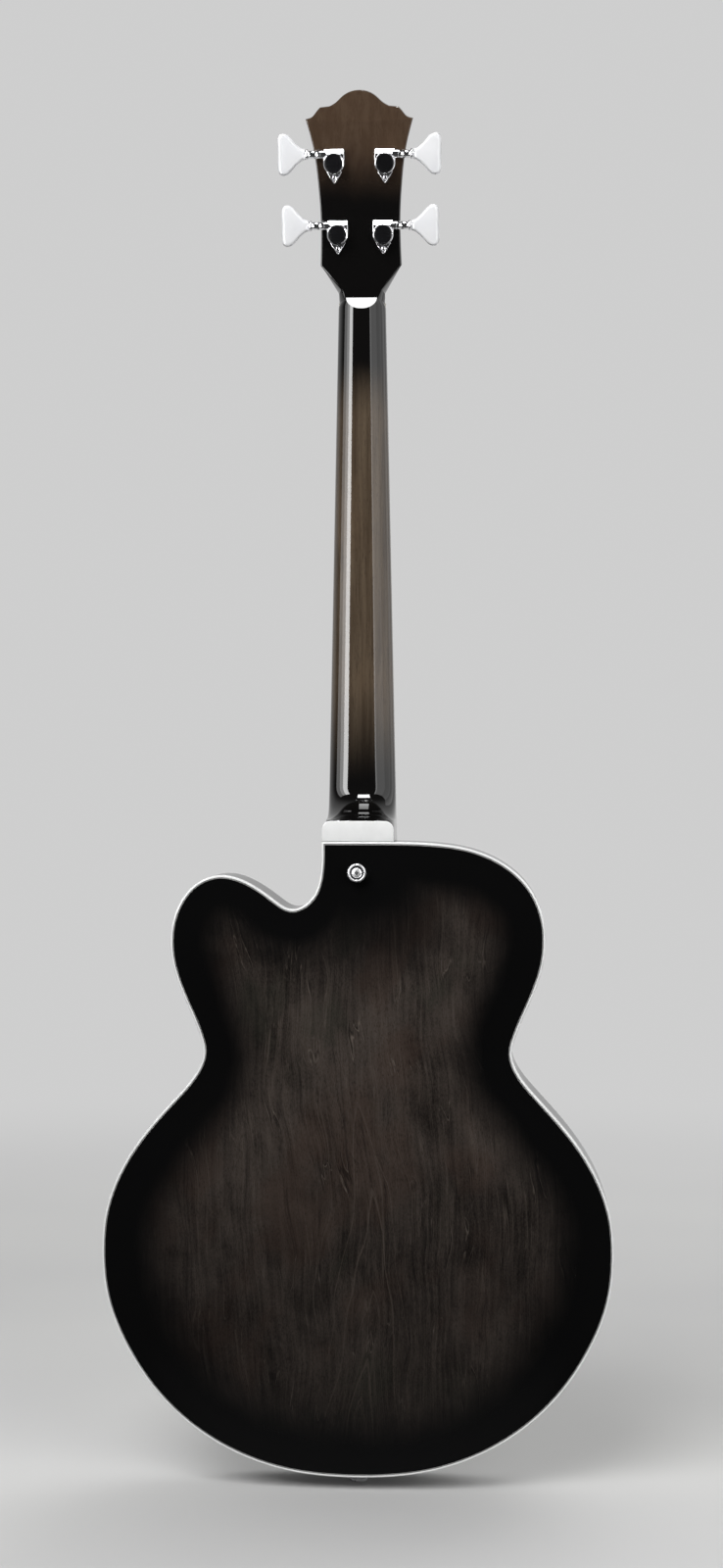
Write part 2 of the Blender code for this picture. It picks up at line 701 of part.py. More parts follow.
def make_neck(over_top):
    """Neck with headstock, heel, tenon and the tongue that carries the fingerboard."""
    heel_back = -(EDGE_Y - HEEL_CAP_THICKNESS - GAP)
    curve_top = BODY_TOP + HEEL_CURVE_END
    curve_reach = HEEL_CURVE_END - HEEL_LENGTH
    bottom = BODY_TOP + GAP
    rings = []
    for z in (NUT_Z + FACET_OVER_NUT, NUT_Z - 0.06, NUT_Z - 0.22, curve_top + 0.02):
        rings.append(neck_section(z, half_width(z), board_under(z) - GAP, shaft_back(z), 2.3))
    for degrees, power in ((75, 2.5), (50, 2.8), (30, 3.2), (14, 3.8), (0, 4.6)):
        angle = math.radians(degrees)
        z = curve_top - curve_reach * math.cos(angle)
        back = heel_back + (shaft_back(curve_top) - heel_back) * math.sin(angle)
        rings.append(neck_section(z, half_width(z), board_under(z) - GAP, back, power))
    for z, power in ((BODY_TOP + 0.009, 8.0), (bottom, 9.0)):
        rings.append(neck_section(z, half_width(z), board_under(z) - GAP, heel_back, power))
    neck = loft("neck", rings, "neck_wood")
    cut(neck, facet_cutter())
    tenon = box(
        "tenon", (-TENON_HALF_WIDTH, -TENON_HALF_DEPTH, BODY_TOP - TENON_LENGTH),
        (TENON_HALF_WIDTH, TENON_HALF_DEPTH, BODY_TOP + 0.004), "neck_wood",
    )
    join(neck, tenon)
    tongue_rings = []
    _, board_end = from_nut(board_length())
    for z in (BODY_TOP + 0.003, board_end + 0.002):
        half = half_width(z) - 0.0015
        high = board_under(z) - GAP - 0.0001
        tongue_rings.append([(-half, 0.028, z), (half, 0.028, z), (half, high, z), (-half, high, z)])
    tongue = loft("tongue", tongue_rings, "neck_wood")
    cut(tongue, over_top, keep_cutter=True)
    join(neck, tongue)
    head = prism("head", head_outline(), head_point, -HEAD_THICKNESS, 0.0, "neck_wood")
    join(neck, head)
    # Channel for the rod, open under the fingerboard, and the pocket for its nut
    length = ROD_LENGTH + 0.012
    rings = []
    for distance in (-0.012, length - 0.012):
        ring = []
        for x, height in ((-1, -ROD_CHANNEL_DEPTH), (1, -ROD_CHANNEL_DEPTH), (1, 0.002), (-1, 0.002)):
            y, z = from_nut(distance, height - BOARD_THICKNESS)
            ring.append((x * (ROD_RADIUS + 2 * GAP), y, z))
        rings.append(ring)
    cut(neck, loft("channel", rings, "neck_wood"))
    cut(neck, prism("pocket", rod_pocket(), head_point, -ROD_POCKET_DEPTH, 0.003, "neck_wood"))
    drill_posts(neck, "neck_wood")
    return neck


def facet_cutter():
    """Cutter that ends the neck's round back in a flat facet, down to the head's back."""
    top = NUT_Z + FACET_OVER_NUT
    _, head_back, base = head_point(0.0, 0.0, -HEAD_THICKNESS)
    head_back -= (top - base) * math.tan(NECK_ANGLE + HEAD_ANGLE)
    low = top - FACET_LENGTH
    steep = (head_back - shaft_back(low)) / FACET_LENGTH
    inner = 0.004
    side = (
        (head_back + inner * steep, top + inner), (head_back - 3 * FACET_LENGTH * steep,
                                                   top - 3 * FACET_LENGTH),
        (-EDGE_Y, top - 3 * FACET_LENGTH), (-EDGE_Y, top + 2 * inner),
        (head_back + inner * steep, top + 2 * inner),
    )
    return prism("facet", side, lambda a, b, level: (level, a, b), -0.04, 0.04, "neck_wood")


def drill_posts(thing, look):
    for spread, height in (LOWER_POST, UPPER_POST):
        for side in (-1, 1):
            ring = circle(POST_HOLE_RADIUS, 14, (side * spread, height))
            cut(thing, prism("hole", ring, head_point, -0.02, 0.01, look))


def rod_pocket():
    return ((-0.0050, 0.0075), (0.0050, 0.0075), (0.0050, 0.034), (-0.0050, 0.034))


def board_length():
    return SCALE_LENGTH * (1 - 2 ** (-FRET_COUNT / 12)) + 0.007


def board_section(z, lift):
    """Fingerboard section with its crown. lift raises the face where a fret sits."""
    half = half_width(z)
    low = board_under(z)
    high = board_y(z) + lift
    return [
        (-half, low, z), (half, low, z), (half, high - BOARD_CROWN, z),
        (0.4 * half, high - 0.16 * BOARD_CROWN, z), (-0.4 * half, high - 0.16 * BOARD_CROWN, z),
        (-half, high - BOARD_CROWN, z),
    ]


def make_fingerboard():
    """Fingerboard in one piece with its frets."""
    rings = [board_section(NUT_Z - GAP, 0.0)]
    for fret in range(1, FRET_COUNT + 1):
        _, z = from_nut(SCALE_LENGTH * (1 - 2 ** (-fret / 12)))
        rings.append(board_section(z + FRET_HALF_WIDTH, 0.0))
        rings.append(board_section(z, FRET_HEIGHT))
        rings.append(board_section(z - FRET_HALF_WIDTH, 0.0))
    _, end = from_nut(board_length())
    rings.append(board_section(end, 0.0))
    return loft("fingerboard", rings, "rosewood")


def make_head_pieces():
    """Front veneer, rod cover, truss rod and nut."""
    low = 0.0078
    veneer = prism(
        "head_veneer", head_outline(low, 0.0001), head_point, GAP, VENEER_THICKNESS, "black_plastic",
    )
    cut(veneer, prism("pocket", rod_pocket(), head_point, -0.01, 0.005, "black_plastic"))
    drill_posts(veneer, "black_plastic")
    cover = [(-0.0095, 0.0085), (0.0095, 0.0085), (0.0105, 0.020), (0.0085, 0.030),
             (0.0040, 0.040), (0.0, 0.0425), (-0.0040, 0.040), (-0.0085, 0.030), (-0.0105, 0.020)]
    base = VENEER_THICKNESS + GAP
    prism("truss_rod_cover", cover, head_point, base, base + 0.0018, "black_plastic")
    y, z = from_nut(0.0, -BOARD_THICKNESS - ROD_CHANNEL_DEPTH + ROD_RADIUS + GAP)
    along = Vector((0, -math.sin(NECK_ANGLE), math.cos(NECK_ANGLE)))
    place = frame_at((0, y, z), along)
    profile = (
        (ROD_RADIUS, -ROD_LENGTH + 0.014), (ROD_RADIUS, 0.0110), (0.0025, 0.0112), (0.0025, 0.0185),
        (0.0021, 0.0190),
    )
    turn_about(turned("truss_rod", profile, place, "steel", segments=8), (0, y, z))


# String letter, side of the headstock and place of the post, from bass to treble
TUNERS = (("e", 1, LOWER_POST), ("a", 1, UPPER_POST), ("d", -1, UPPER_POST), ("g", -1, LOWER_POST))


def string_spots(index):
    """x at the nut and x at the bridge of one string."""
    share = 0.5 - index / 3
    return NUT_SPREAD * share, BRIDGE_SPREAD * share


def nut_height(index):
    return FRET_HEIGHT + STRING_OVER_NUT - 0.0006 + STRING_RADII[index]


def bridge_height(index):
    return FRET_HEIGHT + STRING_OVER_BRIDGE + STRING_RADII[index]


def string_route(index):
    """Centre of a string: behind the tailpiece, over bridge and nut, and on to its post."""
    _, side, post = TUNERS[index]
    x_nut, x_bridge = string_spots(index)
    y_bridge, z_bridge = from_nut(SCALE_LENGTH, bridge_height(index))
    y_nut, z_nut = from_nut(-0.001, nut_height(index))
    bridge = Vector((x_bridge, y_bridge, z_bridge))
    anchor = Vector(tail_anchor(index))
    start = anchor - (bridge - anchor).normalized() * (TAILPIECE_LENGTH * 0.5 + 0.0015)
    spread, height = post
    wind = POST_RADIUS + WINDING_GAP + STRING_RADII[index]
    at_post = Vector(head_point(side * (spread - wind), height, WINDING_START))
    return start, bridge, Vector((x_nut, y_nut, z_nut)), at_post


def trough(before, middle, after, length, reach, rise, look):
    """Cutter round a string where it bends, open above."""
    rings = []
    for end in (before, middle, after):
        way = end - middle
        centre = middle + way.normalized() * length if way.length > 0 else middle
        x, y, z = centre
        rings.append([
            (x - reach, y - reach, z), (x + reach, y - reach, z),
            (x + reach, y + rise, z), (x - reach, y + rise, z),
        ])
    return loft("trough", rings, look)


def make_nut():
    """Nut on the end of the neck, with a slot for each string."""
    half = half_width(NUT_Z) - GAP
    outline = []
    rise = BOARD_THICKNESS + FRET_HEIGHT + 0.0022
    corners = ((-GAP, 0.0), (-NUT_LENGTH, 0.0), (-NUT_LENGTH, rise - 0.0012), (-GAP, rise))
    for distance, height in corners:
        y, z = from_nut(distance, height - BOARD_THICKNESS + GAP)
        outline.append((y, z))
    nut = prism("nut", outline, lambda a, b, level: (level, a, b), -half, half, "bone")
    for index in range(4):
        _, bridge, bend, at_post = string_route(index)
        reach = STRING_RADII[index] + GAP
        cut(nut, trough(bridge, bend, at_post, NUT_LENGTH + 0.003, reach, 0.008, "bone"))
    return nut


def make_heel_cap():
    """Plate on the heel's end, level with the back's edge."""
    half = HEEL_SIDE
    low, high = BODY_TOP + GAP, BODY_TOP + HEEL_CAP_LENGTH
    inner_x, inner_z = half - HEEL_CAP_CORNER, high - HEEL_CAP_CORNER
    outline = [(-half, low), (half, low)]
    outline += circle(HEEL_CAP_CORNER, 6, (inner_x, inner_z), 0.0, math.pi / 2)
    outline += circle(HEEL_CAP_CORNER, 6, (-inner_x, inner_z), math.pi / 2, math.pi / 2)
    prism("heel_cap", outline, plan, -EDGE_Y, -EDGE_Y + HEEL_CAP_THICKNESS, "white_plastic")


def strap_button(name, place):
    """Strap button, base at the local origin, with a flat outer face."""
    high = BUTTON_HEIGHT
    profile = (
        (BUTTON_RADIUS * 0.86, 0.0), (BUTTON_RADIUS * 0.80, 0.0012), (BUTTON_RADIUS * 0.52, 0.0035),
        (BUTTON_RADIUS * 0.50, 0.0058), (BUTTON_RADIUS * 0.80, 0.0078), (BUTTON_RADIUS, 0.0088),
        (BUTTON_RADIUS * 0.95, high),
    )
    return turned(name, profile, place, "chrome", segments=16)


# Tuners

def tuner_frame(side, post):
    """Local frame of a tuner: outward, up the headstock, and back from its rear face."""
    spread, height = post

    def place(a, v, w):
        return head_point(side * (spread + a), height + v, -HEAD_THICKNESS - w)

    return place


def make_housing(name, place):
    """Cast housing: a cup over the gear, open towards the headstock."""
    radius = HOUSING_RADIUS
    top = WORM_RISE + HOUSING_OVER_WORM
    outline = [(radius, top), (-radius, top)]
    outline += circle(radius, 13, (0, 0), math.pi, math.pi)
    housing = prism(name, outline, place, GAP, HOUSING_DEPTH, "chrome")
    tab = ((-0.0062, -0.005), (-0.0016, -0.0155), (0.0016, -0.0155), (0.0062, -0.005))
    join(housing, prism("tab", tab, place, GAP, 0.0018, "chrome"))
    axis = [place(0, WORM_RISE, WORM_DEPTH), place(1, WORM_RISE, WORM_DEPTH)]
    along = Vector(axis[1]) - Vector(axis[0])
    shaft = frame_at(axis[0], along, Vector((0, 0, 1)))
    boss = turned("boss", ((0.0036, 0.006), (0.0036, 0.0140)), shaft, "chrome", segments=16)
    join(housing, boss)
    cavity_radius = GEAR_PITCH_RADIUS + TOOTH_HALF_HEIGHT + 0.0004
    cut(housing, prism("cavity", circle(cavity_radius, 24), place, -0.001, 0.0066, "chrome"))
    half = WORM_PITCH_RADIUS + TOOTH_HALF_HEIGHT + 0.0005
    slot = ((-0.0062, WORM_RISE - half - 0.0008), (0.0062, WORM_RISE - half - 0.0008),
            (0.0062, WORM_RISE + half), (-0.0062, WORM_RISE + half))
    cut(housing, prism("slot", slot, place, -0.001, WORM_DEPTH + half, "chrome"))
    bore = turned("bore", ((0.0020, 0.004), (0.0020, 0.020)), shaft, "chrome", segments=16)
    return cut(housing, bore)


def make_worm(name, place):
    """Key shaft with its worm, a single-start thread whose crest faces the gear's middle."""
    origin = Vector(place(0, WORM_RISE, WORM_DEPTH))
    outward = (Vector(place(1, WORM_RISE, WORM_DEPTH)) - origin).normalized()
    towards_gear = (Vector(place(0, WORM_RISE - 1, WORM_DEPTH)) - origin).normalized()
    third = outward.cross(towards_gear)
    segments = 8
    samples = 4
    turns = 2
    rings = []

    def ring_at(level, radii):
        ring = []
        for j in range(segments):
            angle = 2 * math.pi * j / segments
            radius = radii(angle)
            spoke = towards_gear * math.cos(angle) + third * math.sin(angle)
            ring.append(origin + outward * level + spoke * radius)
        return ring

    root = WORM_PITCH_RADIUS - TOOTH_HALF_HEIGHT
    rings.append(ring_at(-0.0059, lambda angle: root))
    half = turns * samples // 2
    rings.append(ring_at((-half - 0.5) * WORM_LEAD / samples, lambda angle: root))
    for k in range(-half, half + 1):
        level = k * WORM_LEAD / samples
        rings.append(ring_at(level, lambda angle, level=level: WORM_PITCH_RADIUS
                             + TOOTH_HALF_HEIGHT
                             * math.cos(2 * math.pi * level / WORM_LEAD - angle)))
    rings.append(ring_at((half + 0.5) * WORM_LEAD / samples, lambda angle: root))
    steps = (
        (0.0143, 0.0016), (0.01431, 0.0031), (0.0200, 0.0031), (0.02001, 0.0042),
        (KEY_START - GAP, 0.0042), (KEY_START - GAP + 0.00001, 0.0016), (KEY_START + 0.006, 0.0016),
    )
    for level, radius in steps:
        rings.append(ring_at(level, lambda angle, radius=radius: radius))
    return turn_about(loft(name, rings, "chrome"), origin)


def make_post(name, place, side):
    """String post with its gear wheel, whose teeth lean with the worm's thread."""
    samples = 4
    count = GEAR_TEETH * samples
    lean = WORM_LEAD / (2 * math.pi * WORM_PITCH_RADIUS * GEAR_PITCH_RADIUS)
    rings = []
    for depth in (GEAR_HIGH, GEAR_LOW):
        ring = []
        # Angles run from the worm's side, opposite to the outward direction
        shift = side * lean * (depth - WORM_DEPTH)
        for j in range(count):
            angle = 2 * math.pi * j / count
            radius = GEAR_PITCH_RADIUS - TOOTH_HALF_HEIGHT * math.cos(GEAR_TEETH * angle)
            turn = angle + shift
            ring.append(place(-radius * math.sin(turn), radius * math.cos(turn), depth))
        rings.append(ring)
    post = loft(name, rings, "steel")
    axis_low = -HEAD_THICKNESS - POST_TOP
    ring_low = [place(a, v, 0.0040) for a, v in circle(POST_RADIUS, 16)]
    ring_high = [place(a, v, axis_low) for a, v in circle(POST_RADIUS, 16)]
    pin = loft("pin", [ring_low, ring_high], "steel")
    return turn_about(join(post, pin), place(0, 0, WORM_DEPTH))


def make_key(name, place):
    """Flared button on the key shaft."""
    half = KEY_HALF_HEIGHT
    reach = KEY_LENGTH
    side = [
        (0.0, 0.0042), (0.13 * reach, 0.0048), (0.33 * reach, 0.48 * half), (0.55 * reach, 0.84 * half),
        (0.74 * reach, half), (0.93 * reach, 0.93 * half), (0.985 * reach, 0.62 * half),
        (reach, 0.22 * half),
    ]
    outline = [(KEY_START + a, WORM_RISE + v) for a, v in side]
    outline += [(KEY_START + a, WORM_RISE - v) for a, v in reversed(side)]
    thick = KEY_THICKNESS / 2
    key = prism(name, outline, place, WORM_DEPTH - thick, WORM_DEPTH + thick, "white_plastic")
    axis = [place(0, WORM_RISE, WORM_DEPTH), place(1, WORM_RISE, WORM_DEPTH)]
    shaft = frame_at(axis[0], Vector(axis[1]) - Vector(axis[0]), Vector((0, 0, 1)))
    reach = ((0.0019, KEY_START - 0.002), (0.0019, KEY_START + 0.0065))
    cut(key, turned("bore", reach, shaft, "white_plastic", segments=12))
    return turn_about(key, axis[0])


def make_tuners():
    for letter, side, post in TUNERS:
        place = tuner_frame(side, post)
        make_housing("tuner_housing_" + letter, place)
        make_worm("tuner_shaft_" + letter, place)
        make_key("tuner_key_" + letter, place)
        make_post("tuner_post_" + letter, place, side)


# Strings and the parts that hold them

def tail_anchor(index):
    """Where a string passes the tailpiece: x, y, z."""
    _, x_bridge = string_spots(index)
    board, _ = from_nut(SCALE_LENGTH)
    return x_bridge * 0.92, board - TAILPIECE_BELOW_BOARD, TAILPIECE_Z


def least_gap(route, radius):
    """Least gap of a string to itself, between points more than half a winding apart."""
    far = WINDING_POINTS // 2 + 1
    pairs = [(i, j) for i in range(len(route)) for j in range(i + far, len(route))]
    return min((route[i] - route[j]).length for i, j in pairs) - 2 * radius


def make_string(index):
    """One string from the tailpiece, over bridge and nut, and round its post."""
    letter, side, post = TUNERS[index]
    radius = STRING_RADII[index]
    route = list(string_route(index))
    spread, height = post
    wind = POST_RADIUS + WINDING_GAP + radius
    pitch = 2 * radius + WINDING_PITCH_GAP
    for step in range(1, int(WINDING_TURNS * WINDING_POINTS) + 1):
        angle = 2 * math.pi * step / WINDING_POINTS
        level = WINDING_START + pitch * angle / (2 * math.pi)
        turn = math.pi - angle
        across = side * (spread + wind * math.cos(turn))
        up = height + wind * math.sin(turn)
        route.append(Vector(head_point(across, up, level)))
    print("string", letter, "least gap in its winding", round(least_gap(route, radius), 5))
    curve = bpy.data.curves.new("string_" + letter, "CURVE")
    curve.dimensions = "3D"
    line = curve.splines.new("POLY")
    line.points.add(len(route) - 1)
    for point, spot in zip(line.points, route):
        point.co = (*spot, 1.0)
    curve.bevel_depth = radius
    curve.bevel_resolution = 1
    curve.use_fill_caps = True
    curve.materials.append(material("string_" + letter, *LOOKS["steel"]))
    thing = bpy.data.objects.new("string_" + letter, curve)
    bpy.context.collection.objects.link(thing)
    return thing


def make_bridge(over_top):
    """Wooden base with two studs, thumbwheels on them, and the metal saddle bar."""
    half = BRIDGE_BASE_LENGTH / 2
    low, high = BRIDGE_Z - BRIDGE_BASE_WIDTH / 2, BRIDGE_Z + BRIDGE_BASE_WIDTH / 2
    y_bridge, _ = from_nut(SCALE_LENGTH)
    saddle_top = y_bridge + FRET_HEIGHT + STRING_OVER_BRIDGE + SADDLE_NOTCH
    saddle_low = saddle_top - SADDLE_HEIGHT
    wheel_high = saddle_low - GAP
    wheel_low = wheel_high - WHEEL_THICKNESS
    base_top = wheel_low - WHEEL_OVER_BASE
    outline = [(-half, 0.028), (half, 0.028), (half, base_top - 0.003), (0.62 * half, base_top),
               (-0.62 * half, base_top), (-half, base_top - 0.003)]
    base = prism("bridge_base", outline, lambda a, b, level: (a, b, level), low, high, "rosewood")
    cut(base, over_top, keep_cutter=True)
    for side, word in ((1, "bass"), (-1, "treble")):
        place = frame_at((side * STUD_SPREAD / 2, 0.0, BRIDGE_Z), (0, 1, 0))
        join(base, turned("stud", ((STUD_RADIUS, base_top - 0.004), (STUD_RADIUS, saddle_top - 0.002)),
                          place, "rosewood", segments=12))
        wheel = (
            (STUD_RADIUS + GAP, wheel_low), (WHEEL_RADIUS, wheel_low), (WHEEL_RADIUS, wheel_high),
            (STUD_RADIUS + GAP, wheel_high),
        )
        turned(word + "_thumbwheel", wheel, place, "chrome", segments=20, hollow=True)
        turn_about(bpy.data.objects[word + "_thumbwheel"], place(0, 0, wheel_low))
    half = SADDLE_LENGTH / 2
    saddle_outline = [(-half, saddle_low), (half, saddle_low), (half, saddle_top - 0.0035),
                      (0.78 * half, saddle_top), (-0.78 * half, saddle_top),
                      (-half, saddle_top - 0.0035)]
    saddle = prism(
        "bridge_saddle", saddle_outline, lambda a, b, level: (a, b, level),
        BRIDGE_Z - SADDLE_WIDTH / 2, BRIDGE_Z + SADDLE_WIDTH / 2, "chrome",
    )
    for side in (1, -1):
        place = frame_at((side * STUD_SPREAD / 2, 0.0, BRIDGE_Z), (0, 1, 0))
        bore = turned("bore", ((STUD_RADIUS + GAP, saddle_low - 0.001),
                               (STUD_RADIUS + GAP, saddle_top + 0.001)), place, "chrome", segments=12)
        cut(saddle, bore)
    for index in range(4):
        start, bend, nut, _ = string_route(index)
        reach = STRING_RADII[index] + GAP
        cut(saddle, trough(start, bend, nut, SADDLE_WIDTH, reach, 0.012, "chrome"))
    return turn_about(saddle, (0, saddle_low, BRIDGE_Z))


def make_tailpiece():
    """Trapeze tailpiece: rim plate, rail over the edge, and the bar that holds the strings."""
    thick = 0.0014
    bar_low = TAILPIECE_Z - TAILPIECE_LENGTH / 2
    bar_high = TAILPIECE_Z + TAILPIECE_LENGTH / 2
    bar_y = tail_anchor(0)[1] - 0.55 * TAILPIECE_HEIGHT
    half = TAILPIECE_HALF_WIDTH
    bar_top = bar_y + TAILPIECE_HEIGHT
    outline = [(-half, bar_y), (half, bar_y), (half, bar_y + 0.006), (0.8 * half, bar_top),
               (-0.8 * half, bar_top), (-half, bar_y + 0.006)]
    bar = prism("tailpiece", outline, lambda a, b, level: (a, b, level), bar_low, bar_high, "chrome")
    # Rail in side view, as y and z, from the rim up over the edge and on to the bar
    rim_z = BODY_BOTTOM - GAP
    edge_y = EDGE_Y + 0.0008
    rail = [
        (0.0085, rim_z), (0.0085, rim_z - thick), (edge_y + thick, rim_z - thick),
        (edge_y + 0.004, rim_z + 0.004), (bar_y + 0.0045, bar_low + 0.004),
        (bar_y + 0.0015, bar_low + 0.004), (edge_y + 0.001, rim_z + 0.006), (edge_y, rim_z),
    ]
    width = TAIL_RAIL_HALF_WIDTH
    join(bar, prism("rail", rail, lambda a, b, level: (level, a, b), -width, width, "chrome"))
    window = prism(
        "window", ((-0.6 * width, rim_z + 0.014), (0.6 * width, rim_z + 0.014),
                   (0.6 * width, bar_low - 0.008), (-0.6 * width, bar_low - 0.008)),
        plan, 0.02, 0.09, "chrome",
    )
    cut(bar, window)
    for index in range(4):
        start, bridge, _, _ = string_route(index)
        anchor = Vector(tail_anchor(index))
        place = frame_at(anchor, bridge - start)
        reach = STRING_RADII[index] + 2 * GAP
        cut(bar, turned("bore", ((reach, -0.012), (reach, 0.012)), place, "chrome", segments=10))
    return bar


# Pickups and controls

def pickup_spots():
    spots = []
    places = (("neck_pickup", NECK_PICKUP_FROM_BRIDGE), ("bridge_pickup", BRIDGE_PICKUP_FROM_BRIDGE))
    for name, way in places:
        distance = SCALE_LENGTH - way
        share = distance / SCALE_LENGTH
        action = (STRING_OVER_NUT + (STRING_OVER_BRIDGE - STRING_OVER_NUT) * share) + FRET_HEIGHT
        y, z = from_nut(distance, action)
        spots.append((name, y - PICKUP_BELOW_STRINGS, z))
    return spots


def rounded_box(half_x, half_z, corner, count=3):
    """Rectangle with rounded corners, centred on the origin."""
    points = []
    for i, (sx, sz) in enumerate(((1, 1), (-1, 1), (-1, -1), (1, -1))):
        centre = (sx * (half_x - corner), sz * (half_z - corner))
        points += circle(corner, count, centre, i * math.pi / 2, math.pi / 2)
    return points


def make_pickups(over_top, top):
    for name, face, z in pickup_spots():
        half_x, half_z = PICKUP_LENGTH / 2, PICKUP_WIDTH / 2
        corner = 0.004

        def place(a, b, level, z=z):
            return (a, level, z + b)

        body = rounded_box(half_x, half_z, corner)
        shrunk = rounded_box(half_x - 0.0012, half_z - 0.0012, corner)
        rings = [[place(a, b, face - PICKUP_DEPTH) for a, b in body],
                 [place(a, b, face - 0.0015) for a, b in body],
                 [place(a, b, face) for a, b in shrunk]]
        turn_about(loft(name, rings, "chrome"), (0, face, z))
        reach = RING_CLEARANCE
        opening = rounded_box(half_x + reach, half_z + reach, corner)
        frame = rounded_box(half_x + RING_MARGIN, half_z + 0.0042, 0.003)
        ring = prism(name + "_ring", frame, place, 0.028, face - RING_HEIGHT, "black_plastic")
        cut(ring, over_top, keep_cutter=True)
        cut(ring, prism("opening", opening, place, 0.02, 0.09, "black_plastic"))
        cut(top, prism("opening", opening, place, 0.02, 0.09, "lacquer"))


def make_controls(top, top_surface):
    """Knobs on their pots, and the selector switch."""
    report = []
    for number, spot in enumerate(KNOB_PLACES, start=1):
        seat, normal = seat_on_top(top_surface, spot)
        place = frame_at(seat, normal)
        reach = POT_BUSHING_RADIUS + 0.0004
        through = turned("hole", ((reach, -0.02), (reach, 0.01)), place, "lacquer", segments=16)
        cut(top, through)
        shoulder = -PLATE_THICKNESS - 0.0014
        pot = (
            (POT_RADIUS, shoulder - POT_HEIGHT), (POT_RADIUS, shoulder), (POT_BUSHING_RADIUS, shoulder),
            (POT_BUSHING_RADIUS, 0.0025), (0.0034, 0.0025), (0.0034, shoulder - 0.005),
            (0.0006, shoulder - 0.005), (0.0006, shoulder - POT_HEIGHT),
        )
        turned("pot_%d" % number, pot, place, "steel", segments=12, hollow=True)
        knob_low = 0.0034
        knob_top = knob_low + KNOB_HEIGHT
        knob = (
            (0.0030, shoulder - 0.0045), (0.0030, knob_low), (KNOB_RADIUS, knob_low),
            (KNOB_RADIUS * 0.97, knob_low + 0.003), (KNOB_RADIUS * 0.80, knob_top - 0.001),
            (KNOB_RADIUS * 0.72, knob_top),
        )
        turn_about(turned("knob_%d" % number, knob, place, "black_plastic", segments=16), seat)
        report.append(("knob_%d" % number, seat, normal))
    seat, normal = seat_on_top(top_surface, SWITCH_PLACE)
    place = frame_at(seat, normal)
    cut(top, turned("hole", ((SWITCH_BARREL_RADIUS + 0.0005, -0.02),
                             (SWITCH_BARREL_RADIUS + 0.0005, 0.01)), place, "lacquer", segments=16))
    shoulder = -PLATE_THICKNESS - 0.0012
    pivot = -0.008
    barrel = (
        (0.0095, shoulder - 0.019), (0.0095, shoulder), (SWITCH_BARREL_RADIUS, shoulder),
        (SWITCH_BARREL_RADIUS, 0.0045), (0.0048, 0.0045), (0.0034, pivot + 0.002),
        (0.0034, pivot - 0.004), (0.0006, pivot - 0.006), (0.0006, shoulder - 0.019),
    )
    turned("switch_body", barrel, place, "steel", segments=12, hollow=True)
    lever = (
        (0.0010, pivot - 0.0030), (0.0026, pivot - 0.0012), (0.0026, pivot + 0.0012),
        (0.0016, pivot + 0.0030), (0.0016, 0.0095), (0.0034, 0.0110), (0.0042, 0.0165),
        (0.0036, 0.0205), (0.0018, 0.0222),
    )
    turn_about(turned("switch_lever", lever, place, "white_plastic", segments=12), place(0, 0, pivot))
    report.append(("switch_lever", place(0, 0, pivot), normal))
    return report


def make_jack(rim):
    """Output jack in the treble side at the body's widest place, facing -X."""
    face = -(LOWER_BOUT / 2 + GAP)
    place = frame_at((face, 0.0, BODY_BOTTOM + JACK_HEIGHT), (-1, 0, 0), Vector((0, 1, 0)))
    reach = JACK_BARREL_RADIUS + 0.0004
    cut(rim, turned("hole", ((reach, -0.012), (reach, 0.01)), place, "lacquer", segments=20))
    profile = (
        (JACK_BORE_RADIUS, -0.026), (JACK_BARREL_RADIUS, -0.026), (JACK_BARREL_RADIUS, 0.0),
        (0.0095, 0.0), (0.0095, 0.0012), (0.0068, 0.0012), (0.0064, 0.0036), (JACK_BORE_RADIUS, 0.0036),
    )
    turned("output_jack", profile, place, "chrome", segments=16, hollow=True)


def main():
    clear_scene()
    outline = body_outline()
    back, top = make_plates(outline)
    rim = make_edges(outline)
    over_top = arched_slab("over_top", outline, 1, GAP, 0.0, "lacquer", True, True)
    under_top = arched_slab("under_top", outline, 1, 0.1, -PLATE_THICKNESS - GAP, "lacquer")
    over_back = arched_slab("over_back", outline, -1, GAP, 0.0, "lacquer", True, True)
    top_surface = surface_of(top)
    neck_block, _ = make_blocks(outline)
    make_tone_bars(under_top)
    make_neck(over_top)
    make_fingerboard()
    make_head_pieces()
    make_nut()
    make_heel_cap()
    make_pickups(over_top, top)
    controls = make_controls(top, top_surface)
    cut_sound_holes(top)
    for thing in (neck_block, rim):
        across, deep = TENON_HALF_WIDTH + GAP, TENON_HALF_DEPTH + GAP
        low = BODY_TOP - TENON_LENGTH - GAP
        cut(thing, box("mortise", (-across, -deep, low), (across, deep, BODY_TOP + 0.01), "spruce"))
    make_jack(rim)
    strap_button("end_strap_button", frame_at((0, 0, BUTTON_HEIGHT), (0, 0, -1)))
    heel_spot = BODY_BOTTOM + 0.952 * BODY_LENGTH
    back_seat, _, _, _ = surface_of(back).ray_cast(Vector((0, -0.2, heel_spot)), Vector((0, 1, 0)))
    heel_button = strap_button(
        "heel_strap_button", frame_at((0, back_seat.y + GAP, heel_spot), (0, -1, 0)))
    cut(heel_button, over_back, keep_cutter=True)
    make_bridge(over_top)
    make_tailpiece()
    make_tuners()
    for index in range(4):
        make_string(index)
    for guide in (over_top, under_top, over_back):
        bpy.data.objects.remove(guide, do_unlink=True)
    for name, seat, normal in controls:
        print(name, [round(value, 5) for value in seat], [round(value, 5) for value in normal])


main()
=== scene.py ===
"""Hollow-body bass guitar seen from the back: its visible pieces, their finishes, light and camera.

Metres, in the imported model's frame: +Z up along the neck, the back faces -Y, the strings +Y.
Outlines and profiles are tables in millimetres.
"""
import json
import math

